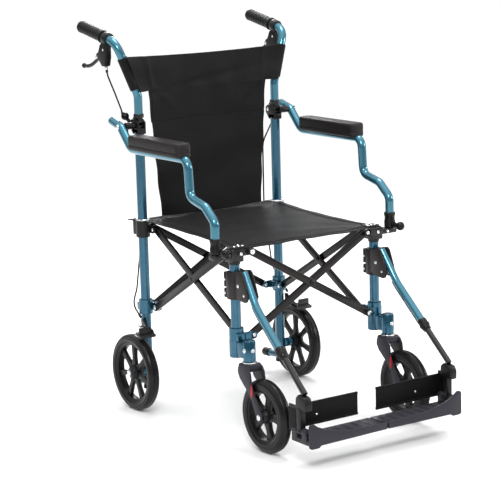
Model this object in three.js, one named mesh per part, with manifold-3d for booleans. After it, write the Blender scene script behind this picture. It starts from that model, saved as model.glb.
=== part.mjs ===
// A folding transport wheelchair. Millimetres, +Z up, front towards -Y, the sitter's left at +X.
// Origin: on the ground, under the middle of the chair's length and width.
import * as THREE from 'three';
import { mergeVertices } from 'three/addons/utils/BufferGeometryUtils.js';
import Module from 'manifold-3d';

const wasm = await Module();
wasm.setup();

// ---- Driving dimensions ----
const TRACK = 425;            // between the left and right posts
const BASE = 415;             // between the rear and front posts
const HALF_X = TRACK / 2;
const HALF_Y = BASE / 2;
const POST_R = 12.5;
const TUBE_R = 11;            // back tubes, arm tubes and hangers
const WALL = 2;
const GAP = 0.3;              // between pieces that touch
const PIN_R = 4;
const PIN_GAP = 0.4;          // from a pin to its hole
const SNUG_R = (TUBE_R + 0.32) / Math.cos(Math.PI / 10);   // bore of a ten-sided sleeve on a tube
const SLIDE = GAP + 0.1;      // from a post to the bore of what slides or turns on it

const BAR = { wide: 19, thick: 8, gap: 0.8, low: 264, high: 468.6, standoff: 16 };
const INSET_X = 36;           // from a post to the pivots of the front and rear crosses
const INSET_Y = 31;           // from a post to the pivots of the side crosses
const EAR_R = BAR.wide / 2;

const SLEEVE_R = POST_R + 5.5;
const LOWER_SLEEVE = [246, 284];
const SLIDER_SLEEVE = [448, 492];
const SLIDER_TAB = { half: 6, near: 10, far: 30, low: 452, high: 490 };
const REAR_POST = { foot: 48, top: 722 };
const HINGE = { z: 740, back: 16, low: 716, cheekTop: 752, tongue: 14, cheek: 5 };
const ARM_X = HALF_X + 52.5;
const ARM_PIVOT = { y: HALF_Y + 0.5, z: 737 };
const LUG_TOP = 468.9;

const REAR_WHEEL = { r: 100, wide: 30, tyre: 20, bore: 6, sides: 24, spokes: 7, hub: 20 };
const REAR_AXLE = { x: HALF_X + 45.5, y: HALF_Y - 11.5, boss: 12, nut: 10 };
const CASTER = { r: 90, wide: 32, lead: 53, trail: 65, tyre: 28, bore: 5, sides: 24, stem: 8, spokes: 5 };
const BRAKE = { y: HALF_Y - 13.5, rise: 16.86, inner: HALF_X + 14.5, outer: HALF_X + 28 };
const LEVER_TIP = { z: 62, drop: 2, reach: 56, r: 9, capR: 11.5, capFrom: 50, capTo: 76 };

const CASTING = { low: 2 * CASTER.r + 32, tall: 50, r: 15, shoe: 40 };
const FRONT_POST = { foot: CASTING.low + 14, top: 440 };
const SLIP_R = POST_R - WALL - 0.6;   // tube that slides inside the front post
const CORNER = { half: 17, low: 446, high: 477, lugLow: 456, lugHalf: 14, lugPast: 13 };

const HANGER_TOP = { x: HALF_X - 3.5, y: -HALF_Y - 35.5, z: 423 };
const HANGER_END = new THREE.Vector3(HALF_X + 3.5, -HALF_Y - 188.5, 259);
const HANGER_DOWN = new THREE.Vector3(2, -94, -83).normalize();
const HANGER_BEND = 120;
const INNER_R = TUBE_R - WALL - SLIDE;
const HANGER_SLEEVE = { r: TUBE_R + 2.5, lip: TUBE_R + 4, behind: 20, ahead: 24, lipFrom: -3, lipTo: 5 };
const COLLAR = {
  r: POST_R + 8.5, low: 354, high: 424, lobe: 7, lobeX: 11, middle: HALF_X - 3, cheek: 5,
};
const PLATE = {
  front: -HALF_Y - 312.5, rear: -HALF_Y - 238.5, low: 62, thick: 12,
  inner: 2, outer: HALF_X + 16.5, tall: 115,
};
const FLIP = { x: HALF_X + 9.5, z: 90, r: 9, half: 8 };
const HEEL = { y0: -HALF_Y - 233.5, y1: -HALF_Y - 229.5, low: 84, high: 142, inner: 6 };
const WEB = { y0: -HALF_Y - 276.5, y1: -HALF_Y - 260.5 };
const KNUCKLE = {
  x0: HALF_X - 6.5, x1: HALF_X + 17.5, y0: -HALF_Y - 298.5, y1: -HALF_Y - 254.5, low: 140, high: 180,
};

const GRIP = { r: TUBE_R + 4.5, length: 104, ribs: 6, flange: 1.5 };
const SEAT = {
  front: -HALF_Y - 16.5, rear: HALF_Y - 8.5, zFront: 479, zRear: 493, thick: 4, half: HALF_X - POST_R - 4,
};
const BACK = { low: 502, step: 822, top: 912, halfLow: HALF_X - 56.5, halfStep: HALF_X - 30.5, thick: 5 };

const SIDES = { right: -1, left: 1 };
// The posts are laid out about their own middle, and the chair is then moved to sit over its origin.
const FRAME_SHIFT = 63.6;

// ---- Colours ----
const BLUE = paint(0x5fb0c8, 0.28, 0.75);
const DARK_BLUE = paint(0x2c6f8c, 0.32, 0.7);
const BLACK_STEEL = paint(0x232323, 0.35, 0.6);
const BLACK_PLASTIC = paint(0x1b1b1c, 0.45, 0);
const GREY_PLASTIC = paint(0x3e3d44, 0.5, 0);
const RUBBER = paint(0x19191a, 0.6, 0);
const CHROME = paint(0xc9ccd0, 0.12, 1);
const FABRIC = paint(0x26272a, 0.95, 0);

function paint(color, roughness, metalness) {
  return new THREE.MeshStandardMaterial({ color, roughness, metalness });
}

// ---- Solids ----
function toSolid(geometry) {
  const bare = geometry.clone();
  bare.deleteAttribute('normal');
  bare.deleteAttribute('uv');
  const merged = mergeVertices(bare, 1e-4);
  const mesh = new wasm.Mesh({
    numProp: 3,
    vertProperties: new Float32Array(merged.attributes.position.array),
    triVerts: new Uint32Array(merged.index.array),
  });
  return new wasm.Manifold(mesh);
}

function toGeometry(solid) {
  const mesh = solid.getMesh();
  const geometry = new THREE.BufferGeometry();
  const places = new Float32Array(mesh.vertProperties);
  geometry.setAttribute('position', new THREE.BufferAttribute(places, 3));
  geometry.setIndex(new THREE.BufferAttribute(new Uint32Array(mesh.triVerts), 1));
  const flat = geometry.toNonIndexed();
  flat.computeVertexNormals();
  return flat;
}

function join(...shapes) {
  return toGeometry(shapes.map(toSolid).reduce((whole, next) => whole.add(next)));
}

function cut(shape, ...tools) {
  return toGeometry(tools.map(toSolid).reduce((whole, next) => whole.subtract(next), toSolid(shape)));
}

function point(x, y, z) {
  return new THREE.Vector3(x, y, z);
}

// A round bar from one point to another.
function rod(from, to, radius, sides = 10) {
  const along = to.clone().sub(from);
  const bar = new THREE.CylinderGeometry(radius, radius, along.length(), sides);
  bar.rotateY(Math.PI / sides);
  const turn = new THREE.Quaternion().setFromUnitVectors(point(0, 1, 0), along.normalize());
  bar.applyQuaternion(turn);
  const middle = from.clone().add(to).multiplyScalar(0.5);
  return bar.translate(middle.x, middle.y, middle.z);
}

function upright(x, y, low, high, radius, sides = 12) {
  return rod(point(x, y, low), point(x, y, high), radius, sides);
}

function block(xs, ys, zs) {
  const size = [xs, ys, zs].map(([a, b]) => Math.abs(b - a));
  const middle = [xs, ys, zs].map(([a, b]) => (a + b) / 2);
  return new THREE.BoxGeometry(...size).translate(...middle);
}

function ball(x, y, z, radius) {
  return new THREE.SphereGeometry(radius, 8, 6).translate(x, y, z);
}

function extrude(shape, depth, curveSegments = 6) {
  return new THREE.ExtrudeGeometry(shape, { depth, bevelEnabled: false, curveSegments });
}

function outline(points) {
  return new THREE.Shape(points.map(([a, b]) => new THREE.Vector2(a, b)));
}

// Prism whose outline is (y, z) pairs, between two values of x.
function prismX(points, xs) {
  const [low, high] = [Math.min(...xs), Math.max(...xs)];
  const basis = new THREE.Matrix4().makeBasis(point(0, 1, 0), point(0, 0, 1), point(1, 0, 0));
  return extrude(outline(points), high - low).applyMatrix4(basis).translate(low, 0, 0);
}

// Prism whose outline is (x, z) pairs, between two values of y.
function prismY(points, ys) {
  const [low, high] = [Math.min(...ys), Math.max(...ys)];
  const basis = new THREE.Matrix4().makeBasis(point(0, 0, 1), point(1, 0, 0), point(0, 1, 0));
  const turned = points.map(([x, z]) => [z, x]);
  return extrude(outline(turned), high - low).applyMatrix4(basis).translate(0, low, 0);
}

// A hollow tube standing on end.
function pipe(x, y, low, high, radius, bore, sides = 12) {
  return cut(upright(x, y, low, high, radius, sides), upright(x, y, low - 1, high + 1, bore, sides));
}

// A path through set knots, so that a sweep has rings only where they are needed.
class KnotPath extends THREE.Curve {
  constructor(knots) {
    super();
    this.knots = knots;
  }

  getPoint(t) {
    const place = t * (this.knots.length - 1);
    const start = Math.min(Math.floor(place), this.knots.length - 2);
    return this.knots[start].clone().lerp(this.knots[start + 1], place - start);
  }

  getPointAt(t) {
    return this.getPoint(t);
  }

  getTangentAt(t) {
    const at = Math.round(t * (this.knots.length - 1));
    const before = this.knots[Math.max(at - 1, 0)];
    const here = this.knots[at];
    const after = this.knots[Math.min(at + 1, this.knots.length - 1)];
    const inward = here.clone().sub(before).normalize();
    const outward = after.clone().sub(here).normalize();
    return inward.add(outward).normalize();
  }
}

// Straight runs joined by round bends.
function filleted(corners, radius, steps) {
  const knots = [corners[0]];
  for (let i = 1; i < corners.length - 1; i += 1) {
    const back = corners[i - 1].clone().sub(corners[i]);
    const on = corners[i + 1].clone().sub(corners[i]);
    const bend = Math.PI - back.angleTo(on);
    const reach = Math.min(radius * Math.tan(bend / 2), back.length() * 0.48, on.length() * 0.48);
    const start = corners[i].clone().addScaledVector(back.normalize(), reach);
    const end = corners[i].clone().addScaledVector(on.normalize(), reach);
    const curve = new THREE.QuadraticBezierCurve3(start, corners[i], end);
    knots.push(...curve.getPoints(steps));
  }
  knots.push(corners[corners.length - 1]);
  return knots;
}

function circle(radius, sides) {
  const corners = [];
  for (let i = 0; i < sides; i += 1) {
    const turn = (2 * Math.PI * (i + 0.5)) / sides;
    corners.push([radius * Math.cos(turn), radius * Math.sin(turn)]);
  }
  return outline(corners);
}

function bentTube(corners, bendRadius, radius, sides = 10, steps = 4) {
  const extrudePath = new KnotPath(filleted(corners, bendRadius, steps));
  const count = extrudePath.knots.length - 1;
  return new THREE.ExtrudeGeometry(circle(radius, sides), { steps: count, extrudePath });
}

// A ring turned about the x axis from a closed profile of [radius, x] pairs.
function turned(profile, sides, middle) {
  const closed = [...profile, profile[0]].map(([r, x]) => new THREE.Vector2(r, x));
  const ring = new THREE.LatheGeometry(closed, sides);
  ring.rotateY(Math.PI / sides);
  ring.rotateZ(-Math.PI / 2);
  return ring.translate(middle.x, middle.y, middle.z);
}

// ---- Crossed bars ----
// Each cross is two bars side by side. Bar a lies nearer its posts and bar b further off.
// The plane of a cross stands off the line of its posts, outwards at front and rear, inwards at the sides.
const CROSSES = {
  rear: { axis: 'y', line: HALF_Y, off: 1, inset: INSET_X, half: HALF_X },
  front: { axis: 'y', line: -HALF_Y, off: -1, inset: INSET_X, half: HALF_X },
  right: { axis: 'x', line: -HALF_X, off: 1, inset: INSET_Y, half: HALF_Y },
  left: { axis: 'x', line: HALF_X, off: -1, inset: INSET_Y, half: HALF_Y },
};
const LAYER = (BAR.thick + BAR.gap) / 2;

function layerPlace(cross, layer) {
  const shift = layer === 'a' ? -LAYER : LAYER;
  return cross.line + cross.off * (BAR.standoff + shift);
}

// A point on a cross: along runs between its posts, at the depth of its plane.
function onCross(cross, along, z, depth) {
  return cross.axis === 'y' ? point(along, depth, z) : point(depth, along, z);
}

// Places a disc or pin through the bars at one pivot.
function through(cross, along, z, from, to, radius, sides = 8) {
  return rod(onCross(cross, along, z, from), onCross(cross, along, z, to), radius, sides);
}

// Bar a goes up along the way it is given, and bar b goes up the other way.
function crossBar(cross, layer, climbs) {
  const reach = cross.half - cross.inset;
  const centre = layerPlace(cross, layer);
  const faces = [centre - BAR.thick / 2, centre + BAR.thick / 2];
  const low = onCross(cross, -climbs * reach, BAR.low, 0);
  const high = onCross(cross, climbs * reach, BAR.high, 0);
  const along = high.clone().sub(low);
  const pitch = Math.atan2(along.z, cross.axis === 'y' ? along.x : along.y);
  const flat = new THREE.Shape();
  const half = BAR.wide / 2;
  const run = along.length() / 2;
  flat.absarc(run, 0, half, -Math.PI / 2, Math.PI / 2, false);
  flat.absarc(-run, 0, half, Math.PI / 2, (3 * Math.PI) / 2, false);
  const plate = extrude(flat, BAR.thick, 4).rotateZ(pitch);
  const basis = cross.axis === 'y'
    ? new THREE.Matrix4().makeBasis(point(1, 0, 0), point(0, 0, 1), point(0, -1, 0))
    : new THREE.Matrix4().makeBasis(point(0, 1, 0), point(0, 0, 1), point(1, 0, 0));
  plate.applyMatrix4(basis);
  const middle = onCross(cross, 0, (BAR.low + BAR.high) / 2, cross.axis === 'y' ? faces[1] : faces[0]);
  plate.translate(middle.x, middle.y, middle.z);
  const hole = (place, z) => through(cross, place, z, faces[0] - 1, faces[1] + 1, PIN_R + PIN_GAP);
  const holes = [hole(-climbs * reach, BAR.low), hole(climbs * reach, BAR.high)];
  const mid = (BAR.low + BAR.high) / 2;
  if (layer === 'b') {
    return cut(plate, ...holes, hole(0, mid));
  }
  const outward = cross.off;
  const far = layerPlace(cross, 'b') + outward * (BAR.thick / 2);
  const pin = through(cross, 0, mid, centre, far + outward, PIN_R);
  const head = through(cross, 0, mid, far + outward * BAR.gap, far + outward * 3.8, 7);
  return join(cut(plate, ...holes), pin, head);
}

// An ear holding one bar's end: a lug in the other bar's layer, with a headed pin through the bar.
function ear(cross, layer, side, z) {
  const other = layer === 'a' ? 'b' : 'a';
  const centre = layerPlace(cross, other);
  const half = BAR.thick / 2;
  const along = side * (cross.half - cross.inset);
  const post = side * cross.half;
  const lug = through(cross, along, z, centre - half, centre + half, EAR_R);
  const zs = [z - EAR_R, z + EAR_R];
  const runs = [along, post];
  const depths = [centre - half, centre + half];
  const web = cross.axis === 'y' ? block(runs, depths, zs) : block(depths, runs, zs);
  const rootRuns = [post - 12, post + 12];
  const rootDepths = [cross.line, centre + cross.off * half];
  const root = cross.axis === 'y' ? block(rootRuns, rootDepths, zs) : block(rootDepths, rootRuns, zs);
  const towards = layer === 'a' ? -cross.off : cross.off;
  const barCentre = layerPlace(cross, layer);
  const far = barCentre + towards * half;
  const pin = through(cross, along, z, centre, far + towards, PIN_R);
  const head = through(cross, along, z, far + towards * BAR.gap, far + towards * 3.4, 6.5);
  return [lug, web, root, pin, head];
}

// ---- Frame ----
function rearPost(s) {
  const x = s * HALF_X;
  const wheel = REAR_WHEEL;
  const z = axleHeight(wheel);
  const tube = upright(x, HALF_Y, REAR_POST.foot, REAR_POST.top, POST_R);
  const bore = upright(x, HALF_Y, REAR_POST.foot - 1, REAR_POST.top + 1, POST_R - WALL);
  const y = REAR_AXLE.y;
  const inner = s * (REAR_AXLE.x - wheel.wide / 2 - 1);
  const outer = s * (REAR_AXLE.x + wheel.wide / 2 + 1);
  const boss = rod(point(s * (HALF_X + 4), y, z), point(inner, y, z), REAR_AXLE.boss);
  const axle = rod(point(inner - s, y, z), point(outer + s, y, z), wheel.bore);
  const nut = rod(point(outer, y, z), point(outer + s * 6, y, z), REAR_AXLE.nut, 6);
  const tipping = LEVER_TIP;
  const near = HALF_Y + POST_R - 1.5;
  const lever = rod(
    point(x, near, tipping.z), point(x, HALF_Y + tipping.reach, tipping.z - tipping.drop), tipping.r, 12,
  );
  const cap = rod(
    point(x, HALF_Y + tipping.capFrom, 60.3), point(x, HALF_Y + tipping.capTo, 59), tipping.capR, 12,
  );
  return join(cut(tube, bore), boss, axle, nut, lever, cap, brakePivot(s, PIN_R, 3));
}

// The ears on one bracket: its front or rear cross, then its side cross.
function bracket(s, line, z, layers, zs, extras = []) {
  const side = s < 0 ? CROSSES.right : CROSSES.left;
  const end = line > 0 ? CROSSES.rear : CROSSES.front;
  const ears = [
    ...ear(end, layers.end, s, z),
    ...ear(side, layers.side, Math.sign(line), z),
  ];
  const core = upright(s * HALF_X, line, zs[0], zs[1], SLEEVE_R);
  const bore = upright(s * HALF_X, line, zs[0] - 60, zs[1] + 60, POST_R + SLIDE);
  return cut(join(core, ...ears, ...extras), bore);
}

function rearLowerBracket(s) {
  const layers = s < 0 ? { end: 'a', side: 'a' } : { end: 'b', side: 'a' };
  return bracket(s, HALF_Y, BAR.low, layers, LOWER_SLEEVE);
}

function rearSlider(s) {
  const layers = s < 0 ? { end: 'b', side: 'b' } : { end: 'a', side: 'b' };
  const { half, near, far, low, high } = SLIDER_TAB;
  const tab = block([s * (HALF_X - half), s * (HALF_X + half)], [HALF_Y + near, HALF_Y + far], [low, high]);
  return bracket(s, HALF_Y, BAR.high, layers, SLIDER_SLEEVE, [tab]);
}

function frontLowerBracket(s) {
  const layers = s < 0 ? { end: 'a', side: 'b' } : { end: 'b', side: 'b' };
  const x = s * HALF_X;
  const swivel = -HALF_Y - CASTER.lead;
  const { low, tall, r } = CASTING;
  const cup = upright(x, swivel, low, low + tall, r);
  const neck = block([x - 11, x + 11], [swivel, -HALF_Y], [low + 4, low + tall - 8]);
  const shoe = upright(x, -HALF_Y, low, low + CASTING.shoe, SLEEVE_R - 1);
  const boltZ = low + tall / 2 + 3;
  const bolt = rod(point(x, swivel, boltZ), point(x + s * (r + 3), swivel, boltZ), 5, 10);
  const whole = bracket(s, -HALF_Y, BAR.low, layers, LOWER_SLEEVE, [cup, neck, shoe, bolt]);
  return cut(whole, upright(x, swivel, low - 1, low + tall - 8, CASTER.stem + GAP));
}

function frontPost(s) {
  return pipe(s * HALF_X, -HALF_Y, FRONT_POST.foot, FRONT_POST.top, POST_R, SLIP_R + SLIDE);
}

function frontCorner(s) {
  const layers = s < 0 ? { end: 'b', side: 'a' } : { end: 'a', side: 'a' };
  const side = s < 0 ? CROSSES.right : CROSSES.left;
  const x = s * HALF_X;
  const y = -HALF_Y;
  const { half, low, high, lugLow, lugHalf, lugPast } = CORNER;
  const body = block([x - half, x + half], [y - half, y + half], [low, high]);
  const ears = [
    ...ear(CROSSES.front, layers.end, s, BAR.high),
    ...ear(side, layers.side, -1, BAR.high),
  ];
  const slip = upright(x, y, FRONT_POST.foot + 4, low + 4, SLIP_R);
  const lug = block([x, s * (ARM_X + lugPast)], [y - lugHalf, y + lugHalf], [lugLow, LUG_TOP]);
  return join(body, slip, lug, ...ears);
}

// ---- Back ----
function backHinge(s) {
  const x = s * HALF_X;
  const pivotY = HALF_Y + HINGE.back;
  const cheekIn = HINGE.tongue / 2 + GAP;
  const cheekOut = cheekIn + HINGE.cheek;
  const cheek = [
    [HALF_Y - 14, HINGE.low], [HALF_Y + 14, HINGE.low], [pivotY + 10, HINGE.z - 8],
    [pivotY + 10, HINGE.z + 6], [pivotY, HINGE.cheekTop], [HALF_Y - 14, HINGE.cheekTop - 4],
  ];
  const base = block([x - cheekOut, x + cheekOut], [HALF_Y - 14, HALF_Y + 14], [HINGE.low, HINGE.low + 12]);
  const socket = upright(x, HALF_Y, HINGE.low - 1, REAR_POST.top + GAP, POST_R + SLIDE);
  const pinEnds = [point(x - cheekOut, pivotY, HINGE.z), point(x + cheekOut, pivotY, HINGE.z)];
  const armY = ARM_PIVOT.y;
  const armZ = ARM_PIVOT.z;
  const beside = TUBE_R + GAP + 0.2;
  const tubeIn = s * (ARM_X - beside);
  const tubeOut = s * (ARM_X + beside);
  const boss = rod(point(x + s * (cheekOut - 1), armY, armZ), point(tubeIn, armY, armZ), 9);
  const armPin = rod(point(tubeIn - s * 2, armY, armZ), point(tubeOut + s * 2, armY, armZ), PIN_R);
  const armHead = rod(point(tubeOut, armY, armZ), point(tubeOut + s * 3, armY, armZ), 7);
  const knobAt = point(x + s * (cheekOut + 7), pivotY + 14, HINGE.z + 2);
  const knob = ball(knobAt.x, knobAt.y, knobAt.z, 11);
  const knobStem = rod(point(x + s * (cheekOut - 2), pivotY + 6, HINGE.z), knobAt, 5, 10);
  const cheeks = [
    prismX(cheek, [x + cheekIn, x + cheekOut]),
    prismX(cheek, [x - cheekIn, x - cheekOut]),
  ];
  const frame = cut(join(base, ...cheeks), socket);
  return join(frame, rod(...pinEnds, PIN_R), boss, armPin, armHead, knobStem, knob);
}

const HANDLE = {
  x: HALF_X + 51.5, bendY: HALF_Y + 18.5, bendZ: 948, endY: HALF_Y + 175.5, endZ: 980, splayZ: 812,
};

function handleCorners(s) {
  return [
    point(s * HALF_X, HALF_Y, 756),
    point(s * HALF_X, HALF_Y, HANDLE.splayZ),
    point(s * (HANDLE.x - 3), HANDLE.bendY, HANDLE.bendZ),
    point(s * HANDLE.x, HANDLE.endY, HANDLE.endZ),
  ];
}

function gripAxis(s) {
  const corners = handleCorners(s);
  return { end: corners[3], along: corners[3].clone().sub(corners[2]).normalize() };
}

function upperTube(s) {
  const x = s * HALF_X;
  const pivotY = HALF_Y + HINGE.back;
  const tube = bentTube(handleCorners(s), 45, TUBE_R, 10, 5);
  const half = HINGE.tongue / 2;
  const tongue = prismX([
    [HALF_Y - 9, HINGE.z + 2], [pivotY - 4, HINGE.z - 8], [pivotY + 4, HINGE.z - 8],
    [pivotY + 9, HINGE.z], [pivotY + 7, HINGE.z + 8],
    [HALF_Y + 9, HINGE.z + 30], [HALF_Y - 9, HINGE.z + 30],
  ], [x - half, x + half]);
  const hole = rod(point(x - 20, pivotY, HINGE.z), point(x + 20, pivotY, HINGE.z), PIN_R + PIN_GAP);
  return cut(join(tube, tongue), hole);
}

function grip(s) {
  const { end, along } = gripAxis(s);
  const { r, length, ribs, flange } = GRIP;
  const inside = -4.3;
  const mouth = length + inside;
  const wide = r + flange;
  const profile = [[0, inside], [SNUG_R, inside], [SNUG_R, mouth], [wide, mouth], [wide, mouth - 3.7]];
  const step = (length - 20) / ribs;
  for (let i = ribs; i > 0; i -= 1) {
    profile.push([r, i * step - 2], [r - 1.2, (i - 0.5) * step - 2]);
  }
  profile.push([r, -2], [r - 2, -7], [0, -7.5]);
  const flipped = profile.map(([radius, back]) => new THREE.Vector2(radius, -back));
  const sheath = new THREE.LatheGeometry(flipped, 12);
  const turn = new THREE.Quaternion().setFromUnitVectors(point(0, 1, 0), along);
  sheath.applyQuaternion(turn);
  const place = end.clone().addScaledVector(along, GAP);
  return sheath.translate(place.x, place.y, place.z);
}

const LEVER = { y: HALF_Y + 95.5, z: 908, cheekX: 4.4, pin: 3, ballY: HALF_Y + 175.5, ballZ: 881, ball: 7 };

// An outline whose first value is measured back from the rear posts.
function behindPosts(points) {
  return points.map(([y, z]) => [HALF_Y + y, z]);
}

function brakeHousing(s) {
  const x = s * HANDLE.x;
  const { along } = gripAxis(s);
  const bend = handleCorners(s)[2];
  const at = (y) => bend.clone().addScaledVector(along, (y - bend.y) / along.y);
  const collar = rod(at(HALF_Y + 48.5), at(HALF_Y + 68.5), GRIP.r, 16);
  const half = 9;
  const body = prismX(behindPosts([
    [48.5, 946], [66.5, 952], [78.5, 940], [88.5, 922], [84.5, 906], [72.5, 886], [56.5, 888], [50.5, 910],
  ]), [x - half, x + half]);
  const fork = prismX(behindPosts([
    [72.5, 920], [92.5, 918], [102.5, 908], [96.5, 899], [76.5, 892],
  ]), [x - half, x + half]);
  const slotEnds = [LEVER.y - 13, LEVER.y + 17];
  const slot = block([x - LEVER.cheekX, x + LEVER.cheekX], slotEnds, [LEVER.z - 28, LEVER.z + 22]);
  const bore = rod(at(HALF_Y + 32.5), at(HALF_Y + 92.5), SNUG_R);
  const pinReach = half - 1;
  const pinEnds = [x - pinReach, x + pinReach].map((across) => point(across, LEVER.y, LEVER.z));
  const pin = rod(...pinEnds, LEVER.pin, 10);
  return join(cut(join(collar, body, fork), bore, slot), pin);
}

function brakeLever(s) {
  const x = s * HANDLE.x;
  const half = LEVER.cheekX - SLIDE;
  const blade = prismX([
    [-8, -4], [-4, -9], [27, -18], [47, -28], [69, -32], [77, -31], [77, -23], [67, -23], [49, -19],
    [31, -9], [7, 6], [-4, 8], [-9, 2],
  ].map(([back, up]) => [LEVER.y + back, LEVER.z + up]), [x - half, x + half]);
  const eyeEnds = [x - 20, x + 20].map((across) => point(across, LEVER.y, LEVER.z));
  const eye = rod(...eyeEnds, LEVER.pin + PIN_GAP, 10);
  return cut(join(blade, ball(x, LEVER.ballY, LEVER.ballZ, LEVER.ball)), eye);
}

const CABLE_R = 2.6;
const CABLE_BEND = 60;
// Cable routes: outwards from the rear post, back from it, and height.
const CABLE_UPPER = [
  [51.5, 64.5, 886], [49.5, 62.5, 862], [37.5, 48.5, 815], [27.5, 38.5, 775], [24.5, 35.5, 757],
];
const CABLE_LOWER = [
  [17.5, 32.5, 728], [13, 34.5, 700], [-18, 34.5, 650], [-19, 34.5, 470],
  [4, 35, 306], [23, 27, 268], [21.5, -9.5, 238.8],
];

function cable(s, route) {
  const corners = route.map(([x, y, z]) => point(s * (HALF_X + x), HALF_Y + y, z));
  return bentTube(corners, CABLE_BEND, CABLE_R, 6, 2);
}

function brakeArm(s) {
  const { y, inner, outer } = BRAKE;
  const z = brakeHeight();
  const side = (points) => points.map(([back, up]) => [y + back, z + up]);
  const link = prismX(side([
    [-13, -10], [9, 0], [10, 20], [-2, 20], [-12, 8], [-44, -2], [-48, -12], [-42, -16],
  ]), [s * inner, s * outer]);
  const shoe = prismX(side([[-54, -19], [-26, -10], [-28, -3], [-56, -11]]), [s * inner, s * (inner + 45)]);
  const tabXs = [s * (inner + 9), s * (inner + 43)];
  const tab = prismX(side([[-44, -11], [-37, -9], [-37, 8], [-44, 8]]), tabXs);
  return cut(join(link, shoe, tab), brakePivot(s, PIN_R + PIN_GAP, 30));
}

function brakeHeight() {
  return axleHeight(REAR_WHEEL) + REAR_WHEEL.r + BRAKE.rise;
}

function brakePivot(s, radius, past) {
  const z = brakeHeight();
  const far = BRAKE.outer + 0.5 + past;
  return rod(point(s * (HALF_X + 3), BRAKE.y, z), point(s * far, BRAKE.y, z), radius, 12);
}

// ---- Arms ----
const ARM_TOP = 685;
const ARM_KNOB = { ahead: 42, z: 477, r: 11.5 };
const PAD = { half: 22.5, round: 18, thick: 26, front: 119.5 - HALF_Y, rear: HALF_Y - 55.5 };

function armTube(s) {
  const x = s * ARM_X;
  const y = -HALF_Y;
  const rise = [[y, 474], [y, 546], [y + 39.5, 579], [y + 104.5, 594], [y + 110.5, ARM_TOP]];
  const run = [[HALF_Y - 46.5, ARM_TOP], [HALF_Y + 2.5, 737], [HALF_Y + 44.5, 749]];
  const tube = bentTube([...rise, ...run].map(([a, b]) => point(x, a, b)), 24, TUBE_R, 10, 3);
  const boot = upright(x, y, LUG_TOP + GAP, 508, TUBE_R + 3.5, 12);
  const stem = rod(point(x, y - 10, ARM_KNOB.z), point(x, y - 34, ARM_KNOB.z), 4, 10);
  const knob = ball(x, y - ARM_KNOB.ahead, ARM_KNOB.z, ARM_KNOB.r);
  const pivot = rod(
    point(x - 30, ARM_PIVOT.y, ARM_PIVOT.z), point(x + 30, ARM_PIVOT.y, ARM_PIVOT.z), PIN_R + PIN_GAP,
  );
  return cut(join(tube, boot, stem, knob), pivot);
}

function armPad(s) {
  const x = s * ARM_X;
  const { half, round, thick, front, rear } = PAD;
  const flat = new THREE.Shape();
  flat.absarc(x + half - round, rear - round, round, 0, Math.PI / 2, false);
  flat.absarc(x - half + round, rear - round, round, Math.PI / 2, Math.PI, false);
  flat.absarc(x - half + round, front + round, round, Math.PI, Math.PI * 1.5, false);
  flat.absarc(x + half - round, front + round, round, Math.PI * 1.5, Math.PI * 2, false);
  return extrude(flat, thick, 4).translate(0, 0, ARM_TOP + TUBE_R + 0.5);
}

// ---- Wheels ----
// The height of an axle above the ground, with one flat of the faceted tread down.
function axleHeight(wheel) {
  return wheel.r * Math.cos(Math.PI / wheel.sides);
}

function rearTyre(s) {
  const { r, wide, sides, tyre } = REAR_WHEEL;
  const { x, y } = REAR_AXLE;
  const rimR = r - tyre;
  const half = wide / 2;
  const profile = [
    [rimR, half - 1], [rimR, 1 - half], [r - 6, -half], [r, 6 - half], [r, half - 6], [r - 6, half],
  ];
  return turned(profile, sides, point(s * x, y, axleHeight(REAR_WHEEL)));
}

function rearRim(s) {
  const { r, wide, tyre, bore, sides, spokes, hub: hubR } = REAR_WHEEL;
  const { x, y } = REAR_AXLE;
  const centre = point(s * x, y, axleHeight(REAR_WHEEL));
  const outer = r - tyre - SLIDE;
  const band = turned([[outer - 9, 8], [outer - 9, -8], [outer, -10], [outer, 10]], sides, centre);
  const half = wide / 2;
  const eye = bore + PIN_GAP;
  const hub = turned([[eye, half], [eye, -half], [hubR, -half], [hubR, half]], 16, centre);
  const arms = [];
  for (let i = 0; i < spokes; i += 1) {
    const arm = block([-6, 6], [-6.3, 6.3], [hubR - 8, outer - 5]);
    arm.rotateX((2 * Math.PI * i) / spokes);
    arms.push(arm.translate(centre.x, centre.y, centre.z));
  }
  return join(band, hub, ...arms);
}

function casterPlace(s) {
  const swivel = -HALF_Y - CASTER.lead;
  return { x: s * HALF_X, swivel, axle: swivel - CASTER.trail, z: axleHeight(CASTER) };
}

function casterWheel(s) {
  const { r, wide, tyre, bore, sides, spokes } = CASTER;
  const { x, axle, z } = casterPlace(s);
  const rimR = r - tyre;
  const half = wide / 2;
  const windowAt = (22 + rimR) / 2 + 1;
  const hole = bore + PIN_GAP;
  const profile = [
    [hole, half], [20, half], [22, 6], [rimR, 6], [rimR, half], [r - 6, half],
    [r, half - 6], [r, 6 - half], [r - 6, -half], [rimR, -half], [rimR, -6],
    [22, -6], [20, -half], [hole, -half],
  ].reverse();
  const wheel = turned(profile, sides, point(x, axle, z));
  const windows = [];
  for (let i = 0; i < spokes; i += 1) {
    const window = rod(point(-8, 0, windowAt), point(8, 0, windowAt), 14, 6);
    window.rotateX((2 * Math.PI * i) / spokes);
    windows.push(window.translate(x, axle, z));
  }
  return cut(wheel, ...windows);
}

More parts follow.
